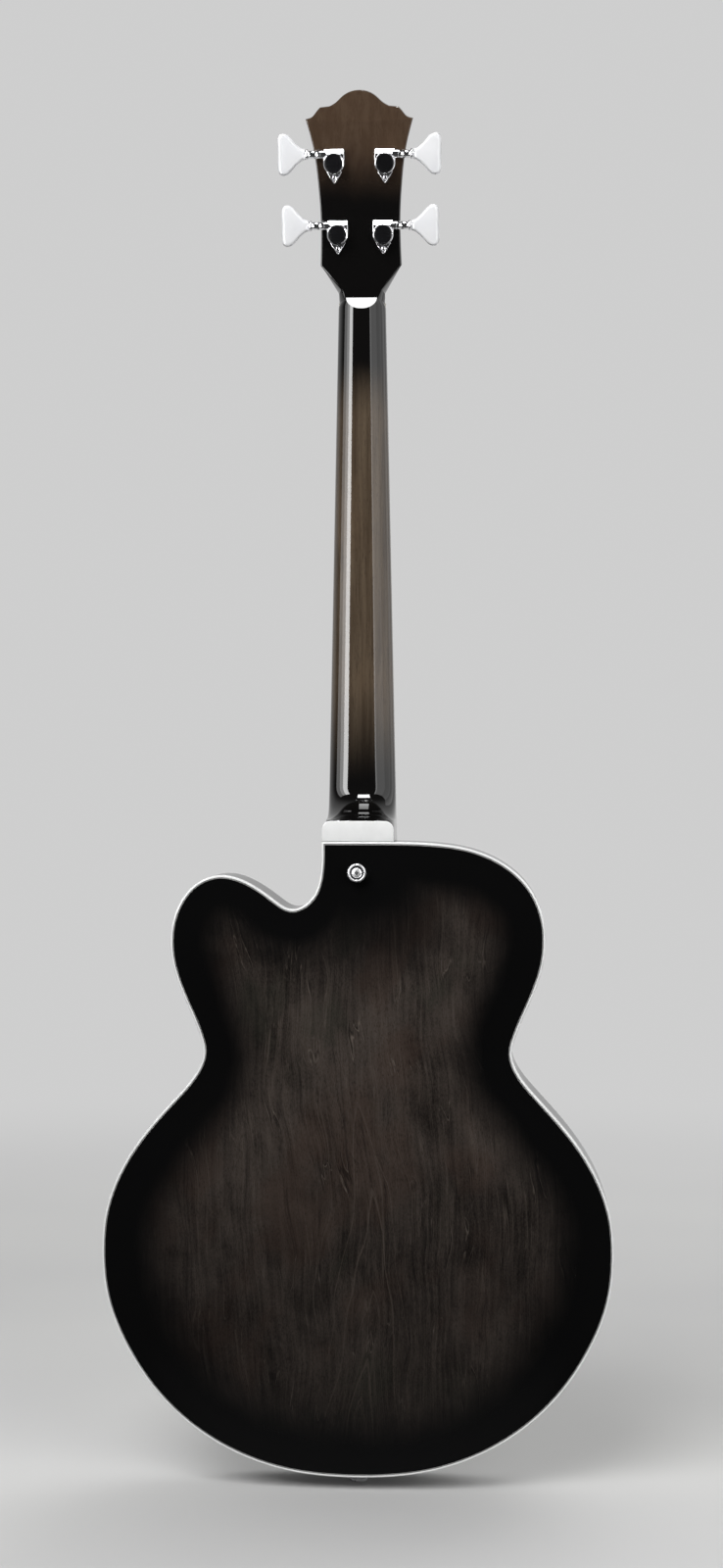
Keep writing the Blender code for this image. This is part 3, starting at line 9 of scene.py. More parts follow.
import bmesh
import bpy
import numpy as np
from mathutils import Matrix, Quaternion, Vector
from mathutils.geometry import delaunay_2d_cdt

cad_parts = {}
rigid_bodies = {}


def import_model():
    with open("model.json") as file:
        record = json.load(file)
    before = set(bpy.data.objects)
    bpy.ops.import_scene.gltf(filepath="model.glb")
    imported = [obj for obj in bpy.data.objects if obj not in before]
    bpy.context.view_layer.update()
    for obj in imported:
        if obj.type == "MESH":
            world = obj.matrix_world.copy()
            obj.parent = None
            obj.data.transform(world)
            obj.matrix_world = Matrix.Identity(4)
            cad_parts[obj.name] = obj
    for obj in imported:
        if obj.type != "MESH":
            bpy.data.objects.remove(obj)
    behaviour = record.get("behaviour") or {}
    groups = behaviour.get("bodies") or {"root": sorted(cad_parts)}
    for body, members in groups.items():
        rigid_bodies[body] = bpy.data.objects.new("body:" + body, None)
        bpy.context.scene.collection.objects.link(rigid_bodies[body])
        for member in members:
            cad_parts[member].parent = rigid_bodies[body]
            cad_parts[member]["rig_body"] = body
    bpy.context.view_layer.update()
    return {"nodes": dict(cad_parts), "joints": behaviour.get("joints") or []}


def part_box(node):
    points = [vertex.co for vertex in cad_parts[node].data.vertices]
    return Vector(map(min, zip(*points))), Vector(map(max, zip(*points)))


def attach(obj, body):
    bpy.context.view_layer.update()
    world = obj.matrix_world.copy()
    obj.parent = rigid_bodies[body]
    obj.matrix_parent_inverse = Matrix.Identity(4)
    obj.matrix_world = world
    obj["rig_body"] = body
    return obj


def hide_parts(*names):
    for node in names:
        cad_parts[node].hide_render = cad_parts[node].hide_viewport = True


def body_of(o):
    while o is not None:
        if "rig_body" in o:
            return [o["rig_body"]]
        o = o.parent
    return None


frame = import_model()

ROOT = body_of(frame["nodes"]["neck"])[0]
GAP = 0.0003  # between glued neighbours

# Body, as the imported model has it
EDGE_Y = 0.033
BODY_BOTTOM = 0.0105
BODY_TOP = 0.5075
HEEL_SIDE = 0.0282
PLATE_THICKNESS = 0.004
SIDE_THICKNESS = 0.003
ARCH_HEIGHT = 0.013
ARCH_REACH = 0.10
ARCH_CROWN = 0.66
BINDING_HEIGHT = 0.0065
RIM_Y = EDGE_Y - BINDING_HEIGHT
BUTTON_HEIGHT = 0.0102
BUTTON_RADIUS = 0.00735

# The edge strip's plies, as distances in from the body's outline
WHITE_PLY = 0.00165
BLACK_PLY = 0.0021
GREY_PLY = 0.0025
STRIP_CORNER = 0.0009

# Neck and headstock
NECK_ANGLE = math.radians(3.0)
HEAD_LEAN = math.radians(17.0)
SCALE_LENGTH = 0.770
FRET_COUNT = 22
JOINT_FRET = 14
NUT_WIDTH = 0.038
JOINT_WIDTH = 0.0555
BOARD_THICKNESS = 0.006
BOARD_HEIGHT_AT_JOINT = 0.050
BOARD_CROWN = 0.0013
BOARD_PAST_LAST_FRET = 0.007
EDGING = 0.0012
SHAFT_DEPTH_AT_NUT = 0.0235
SHAFT_DEPTH_AT_HEEL = 0.0245
HEEL_CURVE_END = 0.044
HEEL_LENGTH = 0.017
HEEL_CAP_THICKNESS = 0.0035
HEEL_CAP_LENGTH = 0.0164
HEEL_CAP_CORNER = 0.007
HEAD_THICKNESS = 0.0105
HEAD_EDGE = 0.0011
FACET_OVER_NUT = 0.0068
FACET_LENGTH = 0.0092
VENEER_THICKNESS = 0.0015
VENEER_START = 0.0078
JOINT_FROM_NUT = SCALE_LENGTH * (1 - 2 ** (-JOINT_FRET / 12))
NUT_Z = BODY_TOP + JOINT_FROM_NUT * math.cos(NECK_ANGLE)
BRIDGE_Z = NUT_Z - SCALE_LENGTH * math.cos(NECK_ANGLE)

# Tuners: letter, side and place on the headstock as (half spread, distance above the nut)
LOWER_POST = (0.018, 0.0602)
UPPER_POST = (0.020, 0.1152)
TUNERS = (("e", 1, LOWER_POST), ("a", 1, UPPER_POST), ("d", -1, UPPER_POST), ("g", -1, LOWER_POST))
WORM_RISE = 0.0069
WORM_DEPTH = 0.004
HOUSING_RADIUS = 0.00815
HOUSING_FACE = 0.0066
KEY_START = 0.0223
KEY_LENGTH = 0.0222
KEY_HALF_HEIGHT = 0.01615
KEY_THICKNESS = 0.0068
KEY_PILLOW = 0.003

# Strings, bridge, tailpiece and controls
STRING_RADII = (0.0013, 0.00105, 0.00082, 0.00057)
BRIDGE_SPREAD = 0.057
STRING_OVER_BRIDGE = 0.0036
FRET_HEIGHT = 0.0011
STUD_X = 0.037
STUD_RADIUS = 0.0025
INSERT_HALF = 0.0022
TAILPIECE_Z = BODY_BOTTOM + 0.557 * (BRIDGE_Z - BODY_BOTTOM)
TAILPIECE_HALF = 0.040
TAILPIECE_DEPTH = 0.009
TAILPIECE_BAR = 0.007
RAIL_HALF = 0.013
RAIL_THICKNESS = 0.0014
PICKUPS = (("neck_pickup", "front_pickup"), ("bridge_pickup", "rear_pickup"))
PICKUP_HALF = (0.03525, 0.01875)
PICKUP_CORNER = 0.004
PICKUP_PLAY = (0.0008, 0.0008)
POLE_SPACING = 0.0166
POLE_ROW = 0.0075
KNOB_RADIUS = 0.0122
KNOB_HEIGHT = 0.0135
KNOB_BASE = 0.0034
KNOB_RIBS = 24
SWITCH_NORMAL = (-0.08062, 0.99672, -0.00705)
SWITCH_BARREL = 0.0080

# Camera: distance from the back's plane, turn to the +X side and roll in degrees, picture 738 by 1600
CAMERA_DISTANCE = 2.05
CAMERA_TURN = 3.0
CAMERA_AIM = (0.0030, -EDGE_Y, 0.5528)
CAMERA_ROLL = 0.12
FOCAL_PIXELS = 2676.0
PHOTO_HEIGHT = 1600.0
SENSOR = 36.0

# Studio: the room's brightness before and behind the instrument, the floor, and the panels
ROOM_DIM = 0.04
ROOM_PALE = 0.62
FLOOR_RADIUS = 14.0
PANEL_DISTANCE = 0.70
PANEL_LOW = 0.485
PANEL_HIGH = 1.45
PANELS = (  # start and end in degrees from the view, brightness
    (-31, -46, 13.5), (-46, -60, 5.0), (-60, -78, 2.4),
    (25.5, 29, 3.9), (29, 60, 1.85), (60, 95, 1.4), (95, 126, 0.75),
)


# Shape helpers

def mm(*points):
    """Points of a table in millimetres."""
    return [tuple(value / 1000 for value in point) for point in points]


def shares(radius, *points):
    """Profile from a table of (share of the radius, level in millimetres)."""
    return [(share * radius, level / 1000) for share, level in points]


def mirrored(half, *tip):
    """Closed outline from its right half, bottom to top, and what lies on its middle line."""
    return [*half, *tip, *((-x, y) for x, y in reversed(half))]


def board_y(z):
    """Height of the fingerboard's face above the body's mid plane."""
    return BOARD_HEIGHT_AT_JOINT + (BODY_TOP - z) * math.tan(NECK_ANGLE)


def board_under(z):
    return board_y(z) - BOARD_THICKNESS


def from_nut(distance, height=0.0):
    """y and z of a point along the fingerboard and above its face."""
    z = NUT_Z - distance * math.cos(NECK_ANGLE) + height * math.sin(NECK_ANGLE)
    y = board_y(NUT_Z) + distance * math.sin(NECK_ANGLE) + height * math.cos(NECK_ANGLE)
    return y, z


def fret_distance(number):
    return SCALE_LENGTH * (1 - 2 ** (-number / 12))


def half_width(z):
    share = (NUT_Z - z) / (NUT_Z - BODY_TOP)
    return (NUT_WIDTH + (JOINT_WIDTH - NUT_WIDTH) * share) / 2


def plan(a, b, level):
    """Place in the body's plan, x and z, with its level along +Y."""
    return (a, level, b)


def upright(a, b, level):
    """Place seen along the neck, x and y, with its level along +Z."""
    return (a, b, level)


def head_point(u, v, h):
    """Point on the headstock: across, up from the nut, and out from the wood's front."""
    y = board_under(NUT_Z) - GAP / 2 - v * math.sin(HEAD_LEAN) + h * math.cos(HEAD_LEAN)
    z = NUT_Z + v * math.cos(HEAD_LEAN) + h * math.sin(HEAD_LEAN)
    return (u, y, z)


def frame_at(origin, axis, side=(1, 0, 0)):
    """Local frame whose third axis is the given one."""
    axis, side, origin = Vector(axis).normalized(), Vector(side), Vector(origin)
    first = (side - axis * side.dot(axis)).normalized()
    second = axis.cross(first)
    return lambda a, b, c: origin + first * a + second * b + axis * c


def moved(place, across, up, out=0.0):
    """A place shifted in its own axes."""
    return lambda a, b, c: place(across + a, up + b, out + c)


def arc(radius, centre, start, turn=math.pi / 2, count=8):
    return [(centre[0] + radius * math.cos(t), centre[1] + radius * math.sin(t))
            for t in np.linspace(start, start + turn, count)]


def rounded_box(half_x, half_z, corner):
    points = []
    for i, (sx, sz) in enumerate(((1, 1), (-1, 1), (-1, -1), (1, -1))):
        points += arc(corner, (sx * (half_x - corner), sz * (half_z - corner)), i * math.pi / 2)
    return points


def pickup_box(grow, corner=PICKUP_CORNER):
    return rounded_box(PICKUP_HALF[0] + grow[0], PICKUP_HALF[1] + grow[1], corner)


def spline(points, steps):
    """Natural cubic through the points, by chord length, with steps on each span."""
    points = np.array(points)
    spans = np.diff(points, axis=0)
    widths = np.linalg.norm(spans, axis=1)
    slopes = spans / widths[:, None]
    matrix, right = np.eye(len(points)), np.zeros(points.shape)
    for i in range(1, len(points) - 1):
        matrix[i, i - 1:i + 2] = widths[i - 1], 2 * (widths[i - 1] + widths[i]), widths[i]
        right[i] = 6 * (slopes[i] - slopes[i - 1])
    bend = np.linalg.solve(matrix, right)
    curve = []
    for i, width in enumerate(widths):
        for u in np.arange(steps) / steps:
            near, far = (1 - u) * width, u * width
            curved = (bend[i] * (near ** 3 - width ** 2 * near)
                      + bend[i + 1] * (far ** 3 - width ** 2 * far)) / (6 * width)
            curve.append(points[i] * (1 - u) + points[i + 1] * u + curved)
    return np.array([*curve, points[-1]])


def inset(outline, distance, sharpest=0.3):
    """Closed outline moved inward by a distance, with mitred corners, whichever way it runs."""
    outline = np.array(outline)
    following = np.roll(outline, -1, axis=0)
    area = np.sum(outline[:, 0] * following[:, 1] - outline[:, 1] * following[:, 0])
    after = (following - outline) / np.linalg.norm(following - outline, axis=1)[:, None]
    middle = (after + np.roll(after, 1, axis=0))[:, ::-1] * np.array([1, -1]) * (1 if area < 0 else -1)
    scale = 2 * distance / np.maximum(np.sum(middle * middle, axis=1), sharpest)
    return outline + middle * scale[:, None]


def layer(outline, place, margin, level):
    """One ring: an outline's inset, put in place at a level."""
    return [place(a, b, level) for a, b in inset(outline, margin)]


def middle_of(node):
    """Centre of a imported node's box."""
    return [(low + high) / 2 for low, high in zip(*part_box(node))]


def put(name, data):
    """New object in the scene."""
    thing = bpy.data.objects.new(name, data)
    bpy.context.collection.objects.link(thing)
    return thing


class Shape:
    """Mesh under construction. Each added form is a closed shell with one finish."""

    def __init__(self):
        self.mesh = bmesh.new()

    def skin(self, rings, finish=0, closed=False, finishes=None):
        """Skin through rings of equal length. closed joins the last ring to the first."""
        count = len(rings[0])
        verts = [[self.mesh.verts.new(point) for point in ring] for ring in rings]
        for i in range(len(rings) - (not closed)):
            here, after = verts[i], verts[(i + 1) % len(rings)]
            for j in range(count):
                k = (j + 1) % count
                face = self.mesh.faces.new((here[j], here[k], after[k], after[j]))
                face.material_index = finishes[i] if finishes else finish
        if not closed:
            for ring in (verts[0], verts[-1]):
                self.mesh.faces.new(ring).material_index = finish
        return self

    def stacked(self, outline, place, sections, finish=0):
        """Skin through an outline's insets, from a list of (margin, level)."""
        return self.skin([layer(outline, place, *section) for section in sections], finish)

    def prism(self, outline, place, levels, finish=0, edge=0.0, steps=3):
        """Outline extruded between two levels, both ends rounded off by edge."""
        turns = [math.pi / 2 * i / steps for i in range(steps + 1)] if edge else [math.pi / 2]
        return self.stacked(outline, place, [
            (edge * (1 - math.sin(t)), end + way * edge * (1 - math.cos(t)))
            for end, way in zip(levels, (1, -1)) for t in turns[::way]], finish)

    def turned(self, profile, place, finish=0, segments=48, hollow=False, relief=None):
        """Profile of (radius, level) spun about the local axis. relief adds to the radius at a step."""
        rings = []
        for radius, level in profile:
            ring = []
            for step in range(segments):
                t = 2 * math.pi * step / segments
                reach = radius + (relief(radius, level, step) if relief else 0.0)
                ring.append(place(reach * math.cos(t), reach * math.sin(t), level))
            rings.append(ring)
        return self.skin(rings, finish, closed=hollow)

    def box(self, place, low, high, finish=0):
        """Box in a local frame."""
        outline = [(low[0], low[1]), (high[0], low[1]), (high[0], high[1]), (low[0], high[1])]
        return self.prism(outline, place, (low[2], high[2]), finish)

    def bore(self, places, radius, depth):
        """Round holes cut through what has been added so far, along each place's third axis."""
        drill = Shape()
        for place in places:
            drill.turned(((radius, 0.0), (radius, depth)), place, segments=32)
        blank, tool = [put("blank", form.to_mesh("blank")) for form in (self, drill)]
        cut = blank.modifiers.new("cut", "BOOLEAN")
        cut.operation, cut.solver, cut.object = "DIFFERENCE", "EXACT", tool
        self.mesh = bmesh.new()
        self.mesh.from_mesh(blank.evaluated_get(bpy.context.evaluated_depsgraph_get()).to_mesh())
        for thing in (blank, tool):
            bpy.data.objects.remove(thing, do_unlink=True)

    def to_mesh(self, name):
        """The finished mesh, with its faces turned outward."""
        bmesh.ops.recalc_face_normals(self.mesh, faces=self.mesh.faces[:])
        mesh = bpy.data.meshes.new(name)
        self.mesh.to_mesh(mesh)
        self.mesh.free()
        return mesh

    def piece(self, name, looks, slot, nodes=(), body=ROOT, sharp=38.0):
        """Ends the shape as a piece that rides on a body and stands for some nodes."""
        finish_piece(name, self.to_mesh(name), looks, nodes, body, sharp)


def finish_piece(name, mesh, looks, nodes=(), body=ROOT, sharp=38.0):
    for look in looks:
        mesh.materials.append(look)
    mesh.shade_smooth()
    mesh.set_sharp_from_angle(angle=math.radians(sharp))
    piece = put(name, mesh)
    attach(piece, body)
    if nodes:
        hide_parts(*nodes)


# Finishes

class Look:
    """Node material under construction, on the object's own coordinates in metres."""

    SOCKETS = {"roughness": "Roughness", "metallic": "Metallic", "specular": "Specular IOR Level",
               "coat": "Coat Weight", "coat_roughness": "Coat Roughness", "sheen": "Sheen Weight"}

    def __init__(self, name):
        self.material = bpy.data.materials.new(name)
        self.material.use_nodes = True
        self.tree = self.material.node_tree
        self.shader = self.tree.nodes["Principled BSDF"]
        self.place = self.node("TexCoord", {}, "Object")

    def node(self, kind, inputs, output, **settings):
        """New node with its inputs fed by values or sockets. Gives one of its outputs."""
        made = self.tree.nodes.new("ShaderNode" + kind)
        for key, value in settings.items():
            setattr(made, key, value)
        for key, value in inputs.items():
            self.feed(made.inputs[key], value)
        return made.outputs[output]

    def feed(self, socket, value):
        if isinstance(value, bpy.types.NodeSocket):
            self.tree.links.new(value, socket)
        else:
            socket.default_value = value

    def set(self, **values):
        """Fixed numbers on the shader's own sockets."""
        for key, value in values.items():
            self.shader.inputs[self.SOCKETS[key]].default_value = value
        return self

    def colour(self, value):
        self.feed(self.shader.inputs["Base Color"], value)

    def roughness(self, value, low, high, start, end):
        self.feed(self.shader.inputs["Roughness"], self.step(value, low, high, start, end))

    def stretched(self, x, y, z):
        """The coordinates scaled on each axis."""
        return self.node("Mapping", {"Vector": self.place, "Scale": (x, y, z)}, "Vector")

    def bent(self, scales, lean, warp):
        """The coordinates leaned over along Z and warped by slow noise, then scaled."""
        place = self.node("Mapping", {"Vector": self.place, "Rotation": (0.0, lean, 0.0)}, "Vector")
        if warp:
            slow = self.noise(self.stretched(11, 11, 6), 2, output="Color")
            shift = self.node("VectorMath", {0: slow, "Scale": 2 * warp}, "Vector", operation="SCALE")
            place = self.node("VectorMath", {0: place, 1: shift}, "Vector", operation="ADD")
        return self.node("Mapping", {"Vector": place, "Scale": scales}, "Vector")

    def noise(self, vector, detail=3, rough=0.5, bend=0.0, output="Fac"):
        return self.node("TexNoise", {"Vector": vector, "Scale": 1.0, "Detail": detail,
                                      "Roughness": rough, "Distortion": bend}, output)

    def step(self, value, low, high, start=0.0, end=1.0):
        """Smooth change from start to end as the value goes from low to high."""
        return self.node("MapRange", {"Value": value, "From Min": low, "From Max": high,
                                      "To Min": start, "To Max": end}, "Result",
                         interpolation_type="SMOOTHSTEP")

    def ridge(self, value, centre, width, height=1.0):
        """A thin line where the value passes a centre."""
        away = self.calc("ABSOLUTE", self.calc("SUBTRACT", value, centre))
        return self.step(away, 0.0, width, height, 0.0)

    def calc(self, operation, first, second=0.0):
        return self.node("Math", {0: first, 1: second}, "Value", operation=operation)

    def times(self, first, second):
        return self.calc("MULTIPLY", first, second)

    def plus(self, first, second):
        return self.calc("ADD", first, second)

    def larger(self, first, second):
        return self.calc("MAXIMUM", first, second)

    def sway(self, value, size):
        """A noise value turned into a shift of up to half the size either way."""
        return self.times(self.calc("SUBTRACT", value, 0.5), size)

    def blend(self, share, first, second):
        colours = [(*value, 1.0) if isinstance(value, tuple) else value for value in (first, second)]
        return self.node("Mix", {0: share, 6: colours[0], 7: colours[1]}, 2, data_type="RGBA")

    def over(self, below, colour, value, low, high, share=1.0):
        """A colour laid over another, up to a share, as a value goes from low to high."""
        return self.blend(self.step(value, low, high, 0.0, share), below, colour)

    def axis(self, vector, name):
        return self.node("SeparateXYZ", {"Vector": vector}, name)

    def bump(self, height, distance, strength):
        """Ends the look with its relief and gives the material."""
        inputs = {"Strength": strength, "Distance": distance, "Height": height}
        self.feed(self.shader.inputs["Normal"], self.node("Bump", inputs, "Normal"))
        return self.material


def wood_tones(look):
    """Cloudy patches, fine grain and specks of the body's wood, with two tints. Gives the patches too."""
    tone, layers = 0.0, []
    for scales, lean, warp, detail, rough, low, high, share in (
            ((12, 12, 8), 0.5, 0.03, 4, 0.62, 0.38, 0.64, 0.34),
            ((38, 38, 27), 0.3, 0.02, 4, 0.6, 0.32, 0.68, 0.22),
            ((330, 80, 18), 0.04, 0.016, 5, 0.65, 0.35, 0.65, 0.30),
            ((1200, 300, 480), 0.04, 0.004, 3, 0.7, 0.3, 0.7, 0.28)):
        layers.append(look.step(look.noise(look.bent(scales, lean, warp), detail, rough), low, high))
        tone = look.plus(tone, look.times(layers[-1], share))
    wood = look.blend(tone, (0.0012, 0.0011, 0.0010), (0.0625, 0.0505, 0.0430))
    tint = look.noise(look.bent((17, 17, 12), -0.4, 0.02))
    wood = look.over(wood, (0.043, 0.027, 0.0205), tint, 0.51, 0.66, 0.42)
    return look.over(wood, (0.024, 0.025, 0.019), tint, 0.46, 0.32, 0.45), layers[1]


def cathedral(look):
    """Thin lines of an inverted V figure beside the body's middle, as in flat-sawn wood."""
    place = look.bent((1, 1, 1), 0.03, 0.030)
    x = look.calc("ABSOLUTE", look.calc("SUBTRACT", look.axis(place, "X"), 0.040))
    level = look.plus(look.times(look.calc("POWER", x, 1.3), 16.0), look.axis(place, "Z"))
    rings = look.noise(look.node("CombineXYZ", {"X": look.times(level, 95.0)}, "Vector"), 1)
    near = look.step(x, 0.015, 0.060, 1.0, 0.0)
    low = look.step(look.axis(look.place, "Z"), 0.36, 0.26)
    return look.times(look.ridge(rings, 0.5, 0.02), look.times(near, low))


def wood_figure(look, wood):
    """Pale and dark lines, scattered squiggles and pores on the body's wood."""
    lines = look.noise(look.bent((150, 40, 2.2), 0.05, 0.022), 2, 0.4)
    wood = look.blend(look.ridge(lines, 0.5, 0.010, 0.30), wood, (0.105, 0.086, 0.072))
    wood = look.blend(look.ridge(lines, 0.42, 0.016, 0.45), wood, (0.006, 0.005, 0.005))
    wood = look.blend(look.times(cathedral(look), 0.45), wood, (0.09, 0.072, 0.060))
    figure = look.noise(look.bent((85, 40, 8), 0.10, 0.035))
    sparse = look.step(look.noise(look.bent((24, 24, 16), -0.2, 0.0), 1), 0.52, 0.66)
    for centre, width, height, colour in ((0.52, 0.008, 0.7, (0.13, 0.108, 0.090)),
                                          (0.54, 0.016, 0.6, (0.004, 0.0035, 0.0035))):
        wood = look.blend(look.times(look.ridge(figure, centre, width, height), sparse), wood, colour)
    pores = look.noise(look.bent((1700, 300, 300), 0.04, 0.004), 2)
    return look.over(wood, (0.005, 0.004, 0.004), pores, 0.55, 0.67, 0.42)


def body_look():
    """Gloss see-through lacquer over figured wood, black where the burst attribute is low."""
    look = Look("body_lacquer").set(specular=0.0, coat=0.25, coat_roughness=0.04)
    wood, patches = wood_tones(look)
    wood = wood_figure(look, wood)
    across, height = look.axis(look.place, "X"), look.axis(look.place, "Z")
    # Darker toward the bottom, toward the top by the heel and toward the -X side.
    depth = look.times(look.step(height, 0.05, 0.35, 0.52, 1.0), look.step(height, 0.36, 0.47, 1.0, 0.76))
    depth = look.times(depth, look.step(across, -0.17, -0.06, 0.72, 1.0))
    wood = look.blend(depth, (0.0035, 0.0034, 0.0034), wood)
    wander = look.noise(look.bent((20, 20, 15), 0.0, 0.0))
    burst = look.node("Attribute", {}, "Fac", attribute_name="burst")
    reach = look.plus(burst, look.sway(wander, 0.45))
    look.colour(look.over((0.0030, 0.0030, 0.0031), wood, reach, 0.60, 1.75))
    look.roughness(patches, 0.0, 1.0, 0.28, 0.38)
    return look.bump(look.noise(look.stretched(90, 90, 40), 2), 0.00005, 0.15)


def side_look():
    look = Look("side_lacquer").set(specular=0.0, coat=0.8, coat_roughness=0.04)
    grain = look.noise(look.stretched(60, 900, 60))
    clouds = look.noise(look.stretched(12, 12, 12))
    base = look.over((0.0032, 0.0030, 0.0029), (0.0075, 0.0062, 0.0052), clouds, 0.35, 0.65)
    look.colour(look.over(base, (0.0022, 0.0020, 0.0020), grain, 0.5, 0.7, 0.5))
    look.roughness(clouds, 0.3, 0.7, 0.25, 0.35)
    return look.bump(grain, 0.00004, 0.15)


def neck_look():
    """Neck and head lacquer: dark brown wood that fades to black at both ends and on the lower head."""
    look = Look("neck_lacquer").set(specular=0.0, coat=1.0, coat_roughness=0.03)
    grain = look.noise(look.bent((520, 400, 7), 0.0, 0.004), 4, 0.6)
    streaks = look.noise(look.bent((190, 160, 3.2), 0.0, 0.006))
    pores = look.noise(look.bent((1900, 900, 170), 0.0, 0.0), 2)
    glow = look.noise(look.bent((34, 34, 12), 0.0, 0.01))
    height = look.axis(look.place, "Z")
    wood = look.over((0.068, 0.048, 0.031), (0.103, 0.076, 0.051), streaks, 0.35, 0.65)
    wood = look.over(wood, (0.046, 0.031, 0.020), grain, 0.45, 0.72, 0.75)
    wood = look.over(wood, (0.112, 0.078, 0.050), glow, 0.48, 0.7, 0.5)
    wood = look.over(wood, (0.020, 0.013, 0.009), pores, 0.58, 0.68, 0.4)
    wood = look.over(wood, (0.064, 0.036, 0.022), height, 0.93, 0.98, 0.6)
    z = look.plus(height, look.sway(glow, 0.014))
    shaft = look.times(look.step(z, 0.552, 0.640), look.step(z, 0.893, 0.838))
    bare = look.larger(shaft, look.step(z, 1.010, 1.068))
    look.colour(look.blend(bare, (0.0034, 0.0031, 0.0030), wood))
    look.roughness(glow, 0.3, 0.7, 0.24, 0.34)
    return look.bump(grain, 0.00002, 0.08)


def plastic_look(name, colour, shade, rough=0.22, scale=60.0):
    """Moulded plastic with faint flow marks and a slightly uneven polish."""
    look = Look(name).set(specular=0.5, coat=0.6, coat_roughness=0.05)
    clouds = look.noise(look.stretched(scale, scale, scale))
    fine = look.noise(look.stretched(scale * 14, scale * 14, scale * 14), 2)
    look.colour(look.over(colour, shade, clouds, 0.35, 0.7))
    look.roughness(fine, 0.3, 0.7, rough * 0.8, rough * 1.2)
    return look.bump(fine, 0.00002, 0.2)


def metal_look(name, colour, shade, rough, scale=120.0, metallic=1.0):
    """Metal with faint swirls in its polish and slightly duller patches."""
    look = Look(name).set(metallic=metallic)
    clouds = look.noise(look.stretched(scale, scale, scale), 4, 0.6)
    look.colour(look.over(colour, shade, clouds, 0.35, 0.7))
    look.roughness(clouds, 0.3, 0.7, rough * 0.7, rough * 1.5)
    return look.bump(clouds, 0.00001, 0.08)


def wood_look(name, light, dark, rough, across=900.0, along=14.0):
    """Plain wood with its grain along Z."""
    look = Look(name).set(specular=0.4)
    grain = look.noise(look.stretched(across, across, along), 4, 0.65)
    bands = look.noise(look.stretched(across / 9, across / 9, along / 4), bend=0.3)
    pores = look.noise(look.stretched(across * 2.4, across * 2.4, along * 10), 2)
    wood = look.over(light, dark, bands, 0.35, 0.65)
    wood = look.over(wood, dark, grain, 0.5, 0.7, 0.55)
    look.colour(look.over(wood, tuple(value * 0.3 for value in dark), pores, 0.58, 0.68, 0.7))
    look.roughness(grain, 0.3, 0.7, rough * 0.85, rough * 1.15)
    return look.bump(pores, -0.00006, 0.5)


def wound_look():
    """String of flat steel ribbon wound round a core."""
    look = Look("wound_steel").set(metallic=1.0)
    turns = look.calc("SINE", look.times(look.axis(look.place, "Z"), 12000.0))
    wear = look.noise(look.stretched(300, 300, 60))
    look.colour(look.over((0.60, 0.59, 0.56), (0.36, 0.35, 0.33), wear, 0.35, 0.7))
    look.roughness(wear, 0.3, 0.7, 0.22, 0.4)
    return look.bump(turns, 0.00002, 0.35)


def felt_look():
    look = Look("felt").set(specular=0.1, roughness=0.95, sheen=0.4)
    fibres = look.noise(look.stretched(2500, 2500, 2500), 4, 0.7)
    look.colour(look.over((0.006, 0.006, 0.006), (0.02, 0.02, 0.02), fibres, 0.3, 0.7))
    return look.bump(fibres, 0.0003, 0.8)


BODY_WOOD = body_look()
SIDES = side_look()
NECK_WOOD = neck_look()
WHITE = plastic_look("white_plastic", (0.87, 0.875, 0.87), (0.82, 0.825, 0.82))
GREY = plastic_look("grey_ply", (0.42, 0.42, 0.41), (0.36, 0.36, 0.35))
BLACK = plastic_look("black_plastic", (0.0045, 0.0045, 0.005), (0.007, 0.007, 0.008), 0.12)
KEY_WHITE = plastic_look("key_white", (0.89, 0.895, 0.91), (0.85, 0.86, 0.885), 0.18, 40.0)
BONE = plastic_look("bone", (0.74, 0.70, 0.60), (0.66, 0.61, 0.50), 0.4, 150.0)
PEARL = plastic_look("pearl", (0.62, 0.64, 0.60), (0.38, 0.42, 0.44), 0.2, 400.0)
CHROME = metal_look("chrome", (0.86, 0.86, 0.88), (0.78, 0.78, 0.80), 0.045)
SATIN = metal_look("satin_nickel", (0.93, 0.93, 0.94), (0.85, 0.85, 0.87), 0.26, 90.0, 0.7)
STEEL = metal_look("plain_steel", (0.46, 0.46, 0.47), (0.36, 0.36, 0.37), 0.32)
# Painted shade: near-black steel laid in the screw crosses, the pole slots and the strap buttons'
# hollows, where the recesses fall in shade.
RECESS_SHADE = metal_look("painted_recess_shade", (0.07, 0.07, 0.075), (0.04, 0.04, 0.045), 0.25)
ROSEWOOD = wood_look("rosewood", (0.055, 0.027, 0.017), (0.022, 0.011, 0.008), 0.42)
SPRUCE = wood_look("raw_spruce", (0.62, 0.46, 0.28), (0.42, 0.28, 0.15), 0.7, 700.0, 10.0)
WOUND = wound_look()
FELT = felt_look()


# Body

def outline_from_frame():
    """The body's plan outline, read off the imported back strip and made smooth.

    It starts and ends at the corner beside the heel, where the cutaway meets it.
    """
    mesh = frame["nodes"]["back_binding"].data
    edges = set()
    for face in mesh.polygons:
        corners = [mesh.vertices[i].co for i in face.vertices]
        if any(abs(co.y + EDGE_Y) > 1e-5 for co in corners):
            continue
        corners = [(round(co.x, 6), round(co.z, 6)) for co in corners]
        for pair in zip(corners, corners[1:] + corners[:1]):
            if pair[::-1] in edges:
                edges.remove(pair[::-1])
            else:
                edges.add(pair)
    after, loops = dict(edges), []
    while after:
        start, here = after.popitem()
        loop = [start]
        while here != start:
            loop.append(here)
            here = after.pop(here)
        loops.append(np.array(loop))
    longest = max(loops, key=lambda loop: np.ptp(loop[:, 0]))
    corner = np.argmin(np.linalg.norm(longest - np.array([-HEEL_SIDE, BODY_TOP]), axis=1))
    way = np.roll(longest, -corner, axis=0)
    return spline(np.concatenate([way, way[:1]]), 7)[:-1]


OUTLINE = outline_from_frame()


